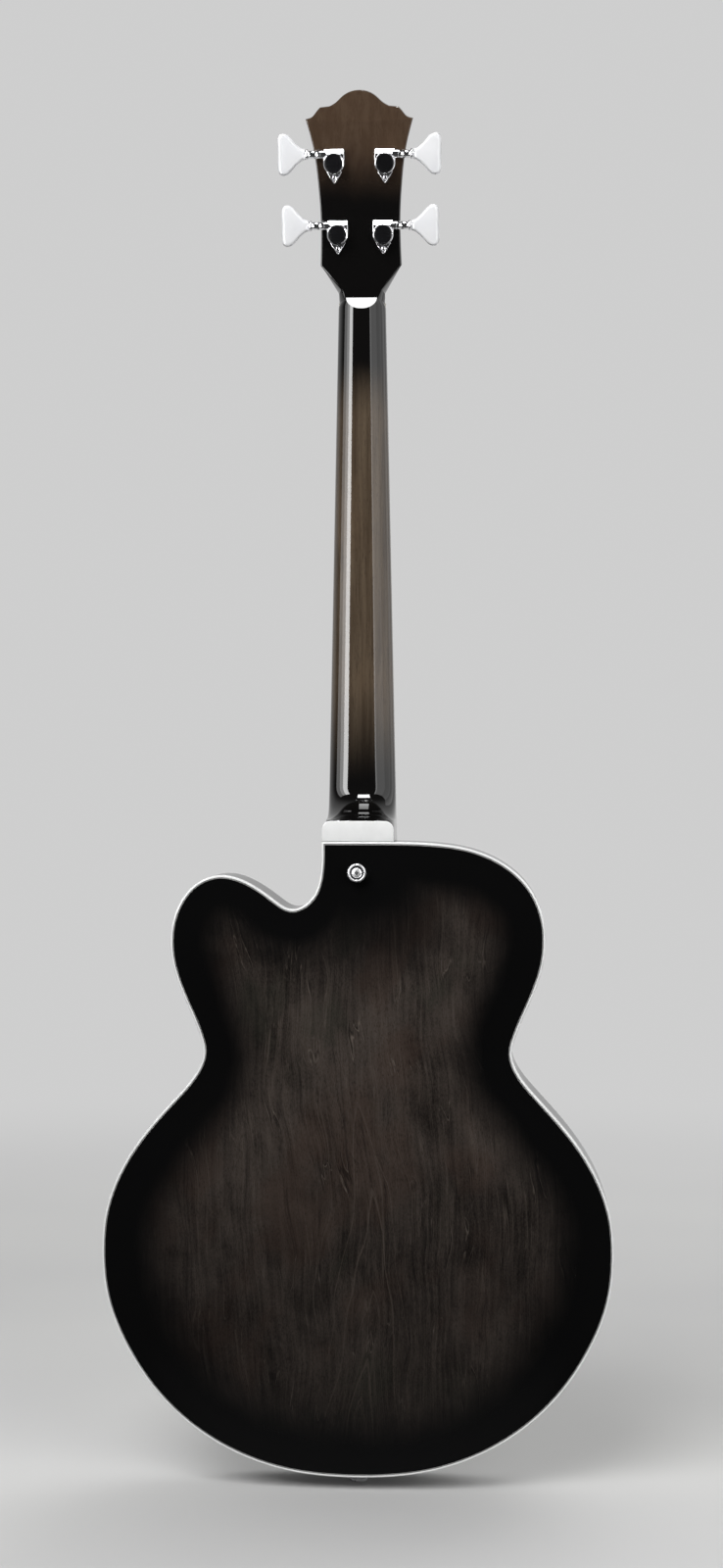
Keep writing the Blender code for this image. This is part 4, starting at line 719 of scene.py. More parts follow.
def arch(points):
    """Rise of an arched plate at points in plan, above its edge."""
    edge = np.roll(OUTLINE, -1, axis=0) - OUTLINE
    lengths, middles = np.linalg.norm(edge, axis=1), OUTLINE + edge / 2
    share = []
    for part in np.array_split(np.asarray(points), max(1, len(points) // 500)):
        gaps = np.linalg.norm(part[:, None, :] - middles[None, :, :], axis=2)
        smooth = np.sqrt(2 / np.sum(lengths / np.maximum(gaps, 1e-6) ** 3, axis=1))
        share.append(np.minimum(1.0, (1 - np.exp(-smooth / ARCH_REACH)) / ARCH_CROWN))
    return ARCH_HEIGHT * (1 - np.cos(math.pi * np.concatenate(share) ** 0.85)) / 2


def top_level(x, z):
    """Height of the top's face at a place in plan."""
    return EDGE_Y + float(arch([[x, z]])[0])


def inside(points, loop):
    """Whether each point lies inside a closed loop."""
    x, z = points[:, 0][:, None], points[:, 1][:, None]
    (x1, z1), (x2, z2) = loop.T, np.roll(loop, -1, axis=0).T
    rise = np.where(z2 == z1, 1e-12, z2 - z1)
    crossing = ((z1 <= z) != (z2 <= z)) & (x < x1 + (z - z1) * (x2 - x1) / rise)
    return np.sum(crossing, axis=1) % 2 == 1


def burst_at(points):
    """Distance in from the edge over the dark rim's width there; the heel has its own dark zone."""
    gaps = np.min(np.linalg.norm(points[:, None, :] - OUTLINE[None, :, :], axis=2), axis=1)
    width = np.interp(points[:, 1], (0.0, 0.14, 0.33, 0.45, 0.52), (0.038, 0.042, 0.034, 0.037, 0.042))
    width = np.where((points[:, 0] < 0) & (points[:, 1] > 0.42), 0.034, width)
    from_heel = np.linalg.norm((points - np.array([0.0, BODY_TOP])) / np.array([0.062, 0.078]), axis=1)
    return np.minimum(gaps / width, from_heel)


def plate_net(edge, holes, spacing=0.0046):
    """Plan points, and triangles between them, that fill an outline round its holes."""
    low, high = edge.min(axis=0), edge.max(axis=0)
    rows = np.arange(low[1], high[1], spacing * 0.866)
    grid = np.array([(x + (i % 2) * spacing / 2, z) for i, z in enumerate(rows)
                     for x in np.arange(low[0], high[0], spacing)])
    grid = grid[inside(grid, inset(edge, spacing * 0.45))]
    borders, start = [], 0
    for loop in (edge, *holes):
        borders += [(start + i, start + (i + 1) % len(loop)) for i in range(len(loop))]
        start += len(loop)
    for hole in holes:
        grid = grid[~inside(grid, inset(hole, -spacing * 0.35))]
    points = [Vector(point) for point in np.concatenate([edge, *holes, grid])]
    verts, _, faces, *_ = delaunay_2d_cdt(points, borders, [list(range(len(edge)))], 1, 1e-7)
    flat, faces = np.array([tuple(vert) for vert in verts]), np.array([tuple(face) for face in faces])
    for hole in holes:
        faces = faces[~inside(flat[faces].mean(axis=1), hole)]
    used, faces = np.unique(faces, return_inverse=True)
    return flat[used], faces.reshape(-1, 3).tolist()


def make_plate(name, side, holes, node):
    """Arched plate, closed, with holes. side is -1 for the back and 1 for the top."""
    flat, faces = plate_net(inset(OUTLINE, GREY_PLY), [np.array(hole) for hole in holes])
    rise, count = arch(flat), len(flat)
    edges = dict.fromkeys(pair for a, b, c in faces for pair in ((a, b), (b, c), (c, a)))
    walls = [(a, b, count + b, count + a) for a, b in edges if (b, a) not in edges]
    under = [(count + c, count + b, count + a) for a, b, c in faces]
    shape = Shape()
    verts = [shape.mesh.verts.new((x, side * (EDGE_Y + up - depth), z))
             for depth in (0.0, PLATE_THICKNESS) for (x, z), up in zip(flat, rise)]
    for corners in faces + walls + under:
        shape.mesh.faces.new([verts[i] for i in corners])
    mesh = shape.to_mesh(name)
    for face in mesh.polygons:
        face.material_index = int(side * face.normal.y < -0.5)
    burst = mesh.attributes.new("burst", "FLOAT", "POINT")
    burst.data.foreach_set("value", np.tile(burst_at(flat), 2).astype(np.float32))
    finish_piece(name, mesh, [BODY_WOOD, SPRUCE], [node])


def sound_hole(side):
    """Outline of one sound hole: a slim S with a round eye at each end."""
    spread, swing, length, half_slot, eye = 0.088, 0.0105, 0.150, 0.0036, 0.0034
    t = np.linspace(0.0, 1.0, 64)
    eyes = sum(eye * np.exp(-((t - at) / 0.055) ** 2) for at in (0.04, 0.96))
    half = (half_slot + eyes) * np.sqrt(np.minimum(1.0, 14 * np.minimum(t, 1 - t) + 0.06))
    x, z = spread - swing * np.cos(math.pi * t), BODY_BOTTOM + 0.164 + length * (0.5 - t)
    near, far = [np.stack([side * (x + way * half), z], axis=1) for way in (-1, 1)]
    return np.concatenate([near, far[::-1]])


def pickup_opening(node):
    x, _, z = middle_of(node)
    return [(x + a, z + b) for a, b in pickup_box(PICKUP_PLAY)]


def make_plates():
    make_plate("back_panel", -1, [], "back_plate")
    holes = [sound_hole(side) for side in (-1, 1)] + [pickup_opening(node) for node, _ in PICKUPS]
    make_plate("top_panel", 1, holes, "top_plate")


def edge_sweep(name, section, finishes, looks, slot, nodes):
    """Closed section of (inset, y) points swept round the outline, one finish a strip."""
    rings = [[(x, level, z) for x, z in inset(OUTLINE, depth)] for depth, level in section]
    Shape().skin(rings, closed=True, finishes=finishes).piece(name, looks, slot, nodes, sharp=50.0)


def make_edges():
    """Sides, and the plied strips round both edges."""
    band = ((0, -RIM_Y), (0, RIM_Y), (SIDE_THICKNESS, RIM_Y), (SIDE_THICKNESS, -RIM_Y))
    edge_sweep("side_band", band, (0, 0, 1, 0), [SIDES, SPRUCE], "side_lacquer", ["body_sides"])
    for side, word in ((-1, "back"), (1, "top")):
        section = [(0.0, side * RIM_Y)]
        for t in (math.pi / 2, math.pi / 3, math.pi / 6, 0.0):
            section.append((STRIP_CORNER * (1 - math.sin(t)),
                            side * (EDGE_Y - STRIP_CORNER * (1 - math.cos(t)))))
        section += [(ply, side * EDGE_Y) for ply in (WHITE_PLY, BLACK_PLY, GREY_PLY)]
        section.append((GREY_PLY, side * RIM_Y))
        edge_sweep(word + "_edge_strip", section, (0, 0, 0, 0, 0, 1, 2, 2, 0),
                   [WHITE, BLACK, GREY], "white_binding", [word + "_binding"])


# Neck

def shaft_back(z):
    share = min(1.0, (NUT_Z - z) / (NUT_Z - BODY_TOP - HEEL_CURVE_END))
    return board_y(z) - SHAFT_DEPTH_AT_NUT - (SHAFT_DEPTH_AT_HEEL - SHAFT_DEPTH_AT_NUT) * share


def neck_ring(z, back, power, steps=56):
    """Neck section, squarer with a higher power, drawn in above the nut."""
    drawn_in = 1 - 0.13 * max(0.0, (z - NUT_Z) / FACET_OVER_NUT) ** 1.6
    half, top = half_width(z) * drawn_in, board_under(z) - GAP
    ring = []
    for i in range(steps + 1):
        across, deep = math.cos(math.pi * i / steps), math.sin(math.pi * i / steps)
        x = half * math.copysign(abs(across) ** (2 / power), across)
        ring.append((x, top - (top - back) * deep ** (2 / power), z))
    return ring


def neck_rings():
    """Stations from just above the nut down to the heel's end."""
    heel_back = -(EDGE_Y - HEEL_CAP_THICKNESS - GAP)
    curve_top = BODY_TOP + HEEL_CURVE_END
    straight = (*np.linspace(NUT_Z + FACET_OVER_NUT, NUT_Z, 6),
                *np.linspace(NUT_Z - 0.004, curve_top + 0.02, 56))
    rings = [neck_ring(z, shaft_back(z), 2.3) for z in straight]
    for degrees in np.linspace(90.0, 0.0, 28):
        angle = math.radians(degrees)
        z = curve_top - (HEEL_CURVE_END - HEEL_LENGTH) * math.cos(angle)
        back = heel_back + (shaft_back(curve_top) - heel_back) * math.sin(angle)
        power = np.interp(degrees, (0, 14, 30, 50, 75, 90), (4.6, 3.8, 3.2, 2.8, 2.5, 2.35))
        rings.append(neck_ring(z, back, power))
    for rise, power in ((0.013, 6.2), (0.009, 8.0), (GAP, 9.0)):
        rings.append(neck_ring(BODY_TOP + rise, heel_back, power))
    return rings


HEAD_HALF = np.array(mm(
    (18.0, 0.0), (18.5, 12.0), (32.2, 35.4), (31.6, 77.0), (33.1, 99.6), (36.35, 125.9),
    (42.2, 148.8), (37.2, 150.4), (33.8, 154.2), (30.7, 157.6), (23.2, 158.4), (18.4, 161.2),
    (12.9, 166.1), (5.5, 169.8)))


def head_outline(low=0.0, margin=0.0):
    """Crown-shaped outline of the headstock, smooth between its corners."""
    half = HEAD_HALF
    right = []
    for run in (half[:2], half[1:3], half[2:7], half[6:10], half[9:11]):
        curve = spline(run, 6) if len(run) > 2 else run
        right += [(u - margin, v - margin * (v > 0.14)) for u, v in curve[:-1] if v >= low]
    if low > 0.0:
        share = (low - half[1, 1]) / (half[2, 1] - half[1, 1])
        right.insert(0, (half[1, 0] + (half[2, 0] - half[1, 0]) * max(share, 0.0) - margin, low))
    crown = spline(np.concatenate([half[10:], half[:9:-1] * np.array([-1.0, 1.0])]), 5)
    return mirrored(right, *((u, v - margin) for u, v in crown))


def carved(u, v, level):
    """Point of the headstock, drawn in toward its back where it runs into the shaft."""
    reach = max(0.0, 1 - v / 0.024) * (-level / HEAD_THICKNESS) ** 1.5
    return head_point(u * (1 - 0.26 * reach), v + 0.0098 * reach, level)


def cut_facet(mesh):
    """Cuts the shaft's back off in the flat that slants up to the headstock under the nut."""
    top = NUT_Z + FACET_OVER_NUT
    _, head_back, base = head_point(0.0, 0.0, -HEAD_THICKNESS)
    head_back -= (top - base) * math.tan(HEAD_LEAN)
    steep = (head_back - shaft_back(top - FACET_LENGTH)) / FACET_LENGTH
    cut = bmesh.ops.bisect_plane(
        mesh, geom=mesh.verts[:] + mesh.edges[:] + mesh.faces[:], dist=1e-7,
        plane_co=(0, head_back, top), plane_no=(0, -1, steep), clear_outer=True)
    rim = [item for item in cut["geom_cut"] if isinstance(item, bmesh.types.BMEdge)]
    bmesh.ops.holes_fill(mesh, edges=rim, sides=0)


def head_sections():
    """Margins and levels of the headstock from its rounded back to its front."""
    sections = [(HEAD_EDGE * margin, HEAD_EDGE * rise - HEAD_THICKNESS)
                for margin, rise in ((1.0, 0.0), (0.55, 0.12), (0.16, 0.5), (0.0, 1.1))]
    return sections + mm((0.0, -7.8), (0.0, -6.0), (0.0, -4.0), (0.0, -0.3), (0.3, 0.0))


def board_end():
    return from_nut(fret_distance(FRET_COUNT) + BOARD_PAST_LAST_FRET)[1]


def tongue_rings(low=0.036):
    """Neck wood under the board where it lies over the body."""
    half = half_width(BODY_TOP) - 0.0015
    return [[(x, y, z) for x, y in ((-half, low), (half, low), (half, board_under(z) - 0.0004),
                                    (-half, board_under(z) - 0.0004))]
            for z in (BODY_TOP + 0.003, board_end() + 0.002)]


def make_neck():
    """Neck shaft with its facet under the nut, heel, tongue and headstock."""
    shape = Shape().skin(neck_rings())
    cut_facet(shape.mesh)
    shape.stacked(head_outline(), carved, head_sections()).skin(tongue_rings())
    shape.piece("neck_and_head", [NECK_WOOD], "neck_wood", ["neck"], sharp=17.0)


def make_heel_cap():
    low, high = BODY_TOP + GAP, BODY_TOP + HEEL_CAP_LENGTH
    inner_x, inner_z = HEEL_SIDE - HEEL_CAP_CORNER, high - HEEL_CAP_CORNER
    corner = arc(HEEL_CAP_CORNER, (inner_x, inner_z), 0.0, count=12)
    shape = Shape().prism(mirrored([(HEEL_SIDE, low), *corner]), plan,
                          (-EDGE_Y, -EDGE_Y + HEEL_CAP_THICKNESS), edge=0.0006)
    shape.piece("heel_plate", [WHITE], "white_binding", ["heel_cap"])


# Fingerboard

def fret_z(number):
    return from_nut(fret_distance(number))[1]


def crowned(z, share=1.0):
    """Height of the fingerboard's face at a share of its half width."""
    return board_y(z) - BOARD_CROWN * share * share


def board_ring(z, steps=14):
    """Fingerboard section with its crowned face, between the white strips."""
    half = half_width(z) - EDGING
    ring = [(-half, board_under(z), z), (half, board_under(z), z)]
    for share in np.linspace(1.0, -1.0, steps + 1):
        ring.append((half * share, crowned(z, share), z))
    return ring


def make_edging():
    """White strips on the board's sides and end."""
    end = board_end()
    strips = Shape()
    for side in (-1, 1):
        rings = []
        for z in (NUT_Z - GAP, end - EDGING):
            outer, inner = side * half_width(z), side * (half_width(z) - 0.0013)
            low, high = board_under(z), crowned(z)
            rings.append([(inner, low, z), (outer, low, z), (outer, high - 0.0003, z),
                          (outer - side * 0.0003, high, z), (inner, high + 0.0001, z)])
        strips.skin(rings)
    low, high = board_under(end), board_y(end) - BOARD_CROWN * 0.5
    strips.skin([[(x, low, end), (x, high, end), (x, high, end - EDGING), (x, low, end - EDGING)]
                 for x in (-half_width(end), half_width(end))])
    strips.piece("board_edging", [WHITE], "white_binding")


def make_frets(radius=0.0012, height=0.00125):
    frets = Shape()
    for number in range(1, FRET_COUNT + 1):
        z = fret_z(number)
        rings = []
        for share in np.linspace(1.0, -1.0, 13):
            x, y = (half_width(z) - 0.0004) * share, crowned(z, share) - 0.0002
            rings.append([(x, y + up * height, z + across * radius) for across, up in
                          ((-1, 0), (-0.85, 0.6), (-0.4, 0.95), (0.4, 0.95), (0.85, 0.6), (1, 0))])
        frets.skin(rings)
    frets.piece("frets", [STEEL], "plain_steel")


def make_inlays(corner=0.002):
    """Pearl blocks between the usual frets, following the board's crown."""
    blocks = Shape()
    for number in (3, 5, 7, 9, 12, 15, 17, 19, 21):
        low, high = fret_z(number), fret_z(number - 1)
        z = (low + high) / 2
        wide, tall = half_width(z) * 0.62, (high - low) * 0.3
        rings = []
        for x in wide * np.linspace(-1.0, 1.0, 25):
            past = max(0.0, (abs(x) - wide + corner) / corner)
            reach = tall - corner * (1 - math.sqrt(max(0.0, 1 - past ** 2)))
            share = x / half_width(z)
            rings.append([(x, crowned(z + b, share) + lift, z + b) for b, lift in
                          ((-reach, -0.0004), (reach, -0.0004), (reach, 0.00006), (-reach, 0.00006))])
        blocks.skin(rings)
    blocks.piece("board_inlays", [PEARL], "white_binding")


def make_fingerboard():
    board = Shape().skin([board_ring(z) for z in (NUT_Z - GAP, board_end())])
    board.piece("board", [ROSEWOOD], "fingerboard_wood", ["fingerboard"])
    make_edging()
    make_frets()
    make_inlays()


# Headstock front and tuners

def screw_head(shape, place, radius=0.0016):
    """Domed screw head in finish 1 with a cross in finish 2, a raised bar of painted shade that stands in
    for the recessed cross.
    """
    crown = ((radius * math.cos(t), radius * (0.1 + 0.35 * math.sin(t))) for t in (0.35, 0.7, 1.05, 1.35))
    shape.turned(((radius, -0.0006), (radius, 0.1 * radius), *crown), place, 1, 24)
    long, wide = radius * 0.62, radius * 0.14
    # Painted shade: the cross bars rise just over the dome.
    for a, b in ((long, wide), (wide, long)):
        shape.box(place, (-a, -b, 0.0), (a, b, radius * 0.455), 2)


def make_head_front():
    """Black veneer on the head's front, and the rod's cover with its screws."""
    veneer = Shape().prism(head_outline(VENEER_START, 0.0001), head_point, (GAP, VENEER_THICKNESS),
                           edge=0.0003, steps=2)
    veneer.piece("head_front", [BLACK], "black_gloss", ["head_veneer"])
    cover = mirrored(mm((9.5, 8.5), (10.5, 20.0), (8.5, 30.0), (4.0, 40.0)), (0.0, 0.0425))
    base, thick = VENEER_THICKNESS + GAP, 0.0015
    plate = Shape().prism(cover, head_point, (base, base + thick), edge=0.0004)
    for u, v in mm((-6.8, 11.5), (6.8, 11.5), (0.0, 37.5)):
        screw_head(plate, moved(head_point, u, v, base + thick - GAP))
    plate.piece("rod_cover", [BLACK, CHROME, RECESS_SHADE], "black_gloss", ["truss_rod_cover"])


def tuner_frame(side, post):
    """Local frame of a tuner: outward, up the headstock, and back from its rear face."""
    spread, height = post
    return lambda a, v, w: head_point(side * (spread + a), height + v, -HEAD_THICKNESS - w)


def shaft_frame(place):
    """Local frame of a tuner's shaft, from the post outward."""
    axis = Vector(place(0, WORM_RISE, WORM_DEPTH))
    return frame_at(axis, Vector(place(1, WORM_RISE, WORM_DEPTH)) - axis, (0, 0, 1))


def add_cup(shape, place):
    """The housing's plate with a ring round a black disc."""
    shoulder = 0.0082
    cup = [(HOUSING_RADIUS, shoulder), (-HOUSING_RADIUS, shoulder)]
    cup += arc(HOUSING_RADIUS, (0, 0), math.pi, math.pi, 40)
    shape.prism(cup, place, (GAP, HOUSING_FACE), edge=0.0006)
    ring = mm((6.6, 4.0), (6.95, 7.9), (7.25, 8.35), (7.65, 8.45), (8.0, 8.1), (8.15, 7.4), (8.15, 4.0))
    shape.turned(ring, place, segments=64, hollow=True)
    disc = mm((6.75, 4.5), (6.75, 7.0), (5.379, 7.3), (2.6895, 7.48), (0.2, 7.52))
    shape.turned(disc, place, 1, 64)


def add_worm_bar(shape, place):
    """The bar over the worm: a flat that slopes from the face down to the housing's top."""
    bar = mm((7.0, 0.3), (7.0, 6.6), (7.5, 6.8), (7.7, 6.7), (10.6, 4.1), (10.8, 3.9), (11.0, 3.4),
             (11.0, 0.3))
    ends = ((0.0, 0.90), (0.0003, 0.98), (0.0006, 1.0), (0.0008, 1.0))
    stations = [(distance - HOUSING_RADIUS, size) for distance, size in ends]
    stations += [(-a, size) for a, size in reversed(stations)]
    shape.skin([[place(a, v, GAP + (w - GAP) * size) for v, w in bar] for a, size in stations])


def add_screw_tab(shape, place):
    """V-shaped tab with raised arms, and its ring screw, whose hollow centre is filled with a black disc
    of painted shade.
    """
    tab = mm((-5.7, -6.6), (-0.9, -15.0), (0.9, -15.0), (5.7, -6.6))
    shape.prism(tab, place, (GAP, 0.0012), edge=0.0002)
    arm = mm((6.0, -6.6), (5.2, -6.6), (0.4, -14.6), (0.1, -15.3), (0.9, -15.3))
    for way in (-1, 1):
        shape.prism([(way * a, v) for a, v in arm], place, (GAP, 0.0024), edge=0.0002)
    tip = moved(place, 0.0, -0.0114)
    ring = mm((1.8, 1.0), (1.8, 2.2), (1.6, 2.6), (1.2, 2.8), (0.8, 2.7), (0.6, 2.2))
    shape.turned(ring, tip, segments=32)
    # Painted shade: black disc in the ring screw's hollow centre.
    shape.turned(mm((0.66, 2.0), (0.66, 2.4), (0.2, 2.4)), tip, 1, 24)


def make_housing(letter, place):
    """Cast housing with its cup, worm bar, screw tab and the shaft's sleeve."""
    shape = Shape()
    add_cup(shape, place)
    add_worm_bar(shape, place)
    add_screw_tab(shape, place)
    sleeve = mm((3.4, 6.0), (3.5, 8.4), (3.5, 10.5), (3.3, 10.7), (3.3, 13.7), (3.1, 14.0))
    shape.turned(sleeve, shaft_frame(place))
    shape.piece("machine_head_" + letter, [CHROME, BLACK], "chrome_plate", ["tuner_housing_" + letter])


def make_shaft(letter, place):
    """Key shaft with its collars, from the worm out to the key."""
    profile = mm((1.6, -5.9), (1.6, 14.2), (2.9, 14.25), (3.1, 14.6), (3.1, 19.8), (2.9, 20.1),
                 (2.9, 20.3), (4.0, 20.4), (4.2, 20.7), (4.2, 21.7), (4.0, 22.0), (1.6, 22.05),
                 (1.6, 28.0))
    Shape().turned(profile, shaft_frame(place)).piece(
        "key_shaft_" + letter, [CHROME], "chrome_plate", ["tuner_shaft_" + letter], "key_" + letter)


KEY_SIDE = (  # shares of the key's length and of its half height
    (0.0, 0.24768), (0.10, 0.28483), (0.24, 0.40867), (0.40, 0.62), (0.56, 0.86), (0.70, 0.98),
    (0.80, 1.0), (0.90, 0.955), (0.975, 0.80), (0.995, 0.55), (0.992, 0.25), (0.985, 0.0),
)


def make_key(letter, place):
    """Flared key: thin neck, concave sides and two rounded lobes, pillowed all round."""
    upper = spline([(a * KEY_LENGTH, v * KEY_HALF_HEIGHT) for a, v in KEY_SIDE], 6)
    lower = upper[-2::-1] * np.array([1, -1])
    outline = np.concatenate([upper, lower]) + np.array([KEY_START, WORM_RISE])
    sections = [(KEY_PILLOW * (1 - math.sin(t) ** 0.8),
                 WORM_DEPTH - KEY_THICKNESS / 2 * math.copysign(abs(math.cos(t)) ** 0.9, math.cos(t)))
                for t in np.linspace(0.12, math.pi - 0.12, 13)]
    key = Shape().stacked(outline, place, sections)
    key.piece("key_button_" + letter, [KEY_WHITE], "white_key", ["tuner_key_" + letter],
              "key_" + letter, 60.0)


def make_tuners():
    for letter, side, post in TUNERS:
        place = tuner_frame(side, post)
        make_housing(letter, place)
        make_shaft(letter, place)
        make_key(letter, place)
    collars = Shape()
    ring = mm((4.5, 0.0), (7.2, 0.0), (7.2, 0.4), (6.6, 1.0), (4.5, 1.2))
    for _, side, (spread, height) in TUNERS:
        place = moved(head_point, side * spread, height, VENEER_THICKNESS)
        collars.turned(ring, place, segments=40, hollow=True)
    collars.piece("post_washers", [CHROME], "chrome_plate")


# Strap buttons and pickups

def strap_button(name, base, axis, node):
    """Strap button on a felt washer, with a cross screw in its hollow. The hollow's floor and the screw's
    cross are painted shade in finish 2.
    """
    place, high = frame_at(base, axis), BUTTON_HEIGHT
    shape = Shape()
    washer = shares(BUTTON_RADIUS, (0.90, 0.0), (0.92, 0.5), (0.90, 1.2), (0.50, 1.3))
    shape.turned(washer, place, 1)
    shape.turned(shares(BUTTON_RADIUS, (0.50, 1.2), (0.80, 1.3), (0.78, 1.8), (0.56, 3.4), (0.50, 4.6),
                        (0.52, 5.8), (0.80, 7.2), (0.97, 7.7), (1.0, 8.4), (0.985, 9.1), (0.94, 9.7),
                        (0.89, 10.1), (0.83, 10.2), (0.77, 10.0), (0.73, 9.5), (0.72, 7.2)), place)
    # Painted shade: a near-black disc as the floor of the hollow.
    shape.turned(shares(BUTTON_RADIUS, (0.71, 7.0), (0.71, 7.8), (0.0544, 7.8)), place, 2)
    screw = BUTTON_RADIUS * 0.55
    crown = ((screw * math.cos(t), high - 0.0013 + 0.0012 * math.sin(t))
             for t in (0.0, 0.3, 0.6, 0.9, 1.2, 1.45))
    shape.turned(((BUTTON_RADIUS * 0.56, high - 0.0025), *crown), place)
    # Painted shade: the screw's cross as near-black raised bars.
    for a, b in mm((1.7, 0.4), (0.4, 1.7)):
        shape.box(place, (-a, -b, high - 0.0016), (a, b, high - 0.00003), 2)
    shape.piece(name, [SATIN, FELT, RECESS_SHADE], "chrome_plate", [node])


def make_strap_buttons():
    base = (0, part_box("heel_strap_button")[0][1] + BUTTON_HEIGHT, middle_of("heel_strap_button")[2])
    strap_button("back_strap_button", base, (0, -1, 0), "heel_strap_button")
    strap_button("bottom_strap_button", (0, 0, BUTTON_HEIGHT), (0, 0, -1), "end_strap_button")


def make_pickup_cover(node, body, place):
    """Chrome cover with two rows of pole screws, each slot a raised bar of painted shade in finish 2."""
    low, face = (corner[1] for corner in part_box(node))
    cover = Shape().prism(pickup_box((0.0, 0.0)), place, (low, face), edge=0.0012)
    for row in (-POLE_ROW, POLE_ROW):
        for index in range(4):
            tip = moved(place, (index - 1.5) * POLE_SPACING, row, face)
            cover.turned(mm((2.4, -0.8), (2.4, 0.05), (2.1, 0.25), (0.3, 0.3)), tip, 1, 28)
            # Painted shade: the slot as a near-black bar over the pole's head.
            cover.box(tip, (-0.0019, -0.0003, 0.0), (0.0019, 0.0003, 0.00034), 2)
    cover.piece(node + "_cover", [CHROME, STEEL, RECESS_SHADE], "chrome_plate", [node], body)


def on_top(outline, place, lift=0.0002):
    """Points of an outline, laid just over the top's arched face."""
    spots = [place(a, b, 0.0) for a, b in outline]
    rises = arch([(x, z) for x, _, z in spots])
    return [(x, EDGE_Y + rise + lift, z) for (x, _, z), rise in zip(spots, rises)]


def make_pickup_ring(node, place):
    """Black ring that follows the top's arch, with a screw at each corner."""
    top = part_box(node)[1][1]
    outer, opening = pickup_box((0.010, 0.0042), 0.003), pickup_box(PICKUP_PLAY)
    sections = ((outer, 0.0, 0.0008), (outer, 0.0003, 0.0002), (outer, 0.0009, 0.0),
                (opening, -0.0004, 0.0), (opening, 0.0, 0.0004))
    rings = [layer(outline, place, margin, top - drop) for outline, margin, drop in sections]
    ring = Shape().skin([on_top(outer, place), *rings, on_top(opening, place)], closed=True)
    across, up = PICKUP_HALF[0] + 0.0060, PICKUP_HALF[1] + 0.0006
    for a, b in ((-across, -up), (-across, up), (across, -up), (across, up)):
        screw_head(ring, moved(place, a, b, top))
    ring.piece(node.replace("ring", "frame"), [BLACK, CHROME, RECESS_SHADE], "black_gloss", [node])


def make_pickups():
    for node, body in PICKUPS:
        place = moved(plan, 0.0, middle_of(node)[2])
        make_pickup_cover(node, body, place)
        make_pickup_ring(node + "_ring", place)


# Bridge and tailpiece

def string_x(index):
    """Place of a string across the bridge."""
    return BRIDGE_SPREAD * (0.5 - index / 3)


def string_level(index):
    """Height of a string's centre over the bridge."""
    return from_nut(SCALE_LENGTH, FRET_HEIGHT + STRING_OVER_BRIDGE + STRING_RADII[index])[0]


def stud_frame(side, level=0.0):
    return frame_at((side * STUD_X, level, BRIDGE_Z), (0, 1, 0))


def make_bridge_foot(wheel_low, turns=24):
    """Rosewood base that follows the arch, with its two threaded studs."""
    low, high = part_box("bridge_base")
    base_top = wheel_low - 0.0025
    rings = []
    for share in np.linspace(-1.0, 1.0, 41):
        x, out = high[0] * share, abs(share)
        wide = (high[2] - low[2]) / 2 * math.sqrt(max(0.05, 1 - (max(0.0, out - 0.93) / 0.07) ** 2))
        ridge = base_top - 0.003 * np.clip((out - 0.55) / 0.4, 0.0, 1.0) ** 1.5
        rings.append([(x, level, BRIDGE_Z + across) for across, level in (
            (-wide, top_level(x, BRIDGE_Z - wide) + GAP), (wide, top_level(x, BRIDGE_Z + wide) + GAP),
            (wide, ridge - 0.0022), (wide * 0.86, ridge - 0.0006), (wide * 0.62, ridge),
            (-wide * 0.62, ridge), (-wide * 0.86, ridge - 0.0006), (-wide, ridge - 0.0022))])
    foot = Shape().skin(rings)
    rise = (high[1] - base_top + 0.0005) / turns
    thread = ((STUD_RADIUS - 0.0003 * (step % 2 == 0), base_top - 0.001 + step * rise)
              for step in range(turns))
    stud = [(STUD_RADIUS, base_top - 0.003), *thread]
    for side in (-1, 1):
        foot.turned(stud, stud_frame(side), 1, 24)
    foot.piece("bridge_foot", [ROSEWOOD, STEEL], "fingerboard_wood", ["bridge_base"])


def make_wheels(low, high, rim=0.0090, notch=0.0004):
    """Knurled wheels on the studs."""
    profile = ((0.0028, low), (0.0084, low), (rim, low + 0.0004), (rim, high - 0.0004),
               (0.0084, high), (0.0028, high))

    def knurl(radius, _, step):
        return -notch if radius == rim and step % 4 in (0, 1) else 0.0

    for side, word in ((1, "bass"), (-1, "treble")):
        wheel = Shape().turned(profile, stud_frame(side), segments=96, hollow=True, relief=knurl)
        wheel.piece(word + "_wheel_disc", [CHROME], "chrome_plate",
                    [word + "_thumbwheel"], word + "_wheel")


def make_saddle():
    """Saddle bar with a slotted insert and a screw for each string."""
    low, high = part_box("bridge_saddle")
    half, top = high[0], high[1]
    bar = mirrored([(half, low[1]), (half, top - 0.0042), (half * 0.92, top - 0.0022),
                    (half * 0.78, top - 0.0012)])
    shape = Shape().prism(bar, upright, (low[2], high[2]), edge=0.0006)
    shape.bore([stud_frame(side, low[1] - 0.002) for side in (-1, 1)],
               STUD_RADIUS + GAP, top - low[1] + 0.004)
    for index, radius in enumerate(STRING_RADII):
        x = string_x(index)
        insert = mirrored([(0.0045, top - 0.0035), (0.0036, top - 0.0012),
                           (radius + 0.0004, top - 0.0002),
                           (radius * 0.9, string_level(index) - radius * 1.05)])
        shape.prism(insert, moved(upright, x, 0.0), (BRIDGE_Z - INSERT_HALF, BRIDGE_Z + INSERT_HALF), 1)
        screw = moved(upright, x, top - 0.0050, low[2] - 0.00005)
        shape.turned(mm((1.8, 0.0), (1.8, 2.0), (1.0, 2.0)), screw, 1, 20)
    shape.piece("saddle_bar", [CHROME, STEEL], "chrome_plate", ["bridge_saddle"], "saddle")


def make_bridge():
    (_, low, _), (_, high, _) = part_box("bass_thumbwheel")
    make_bridge_foot(low)
    make_wheels(low, high)
    make_saddle()


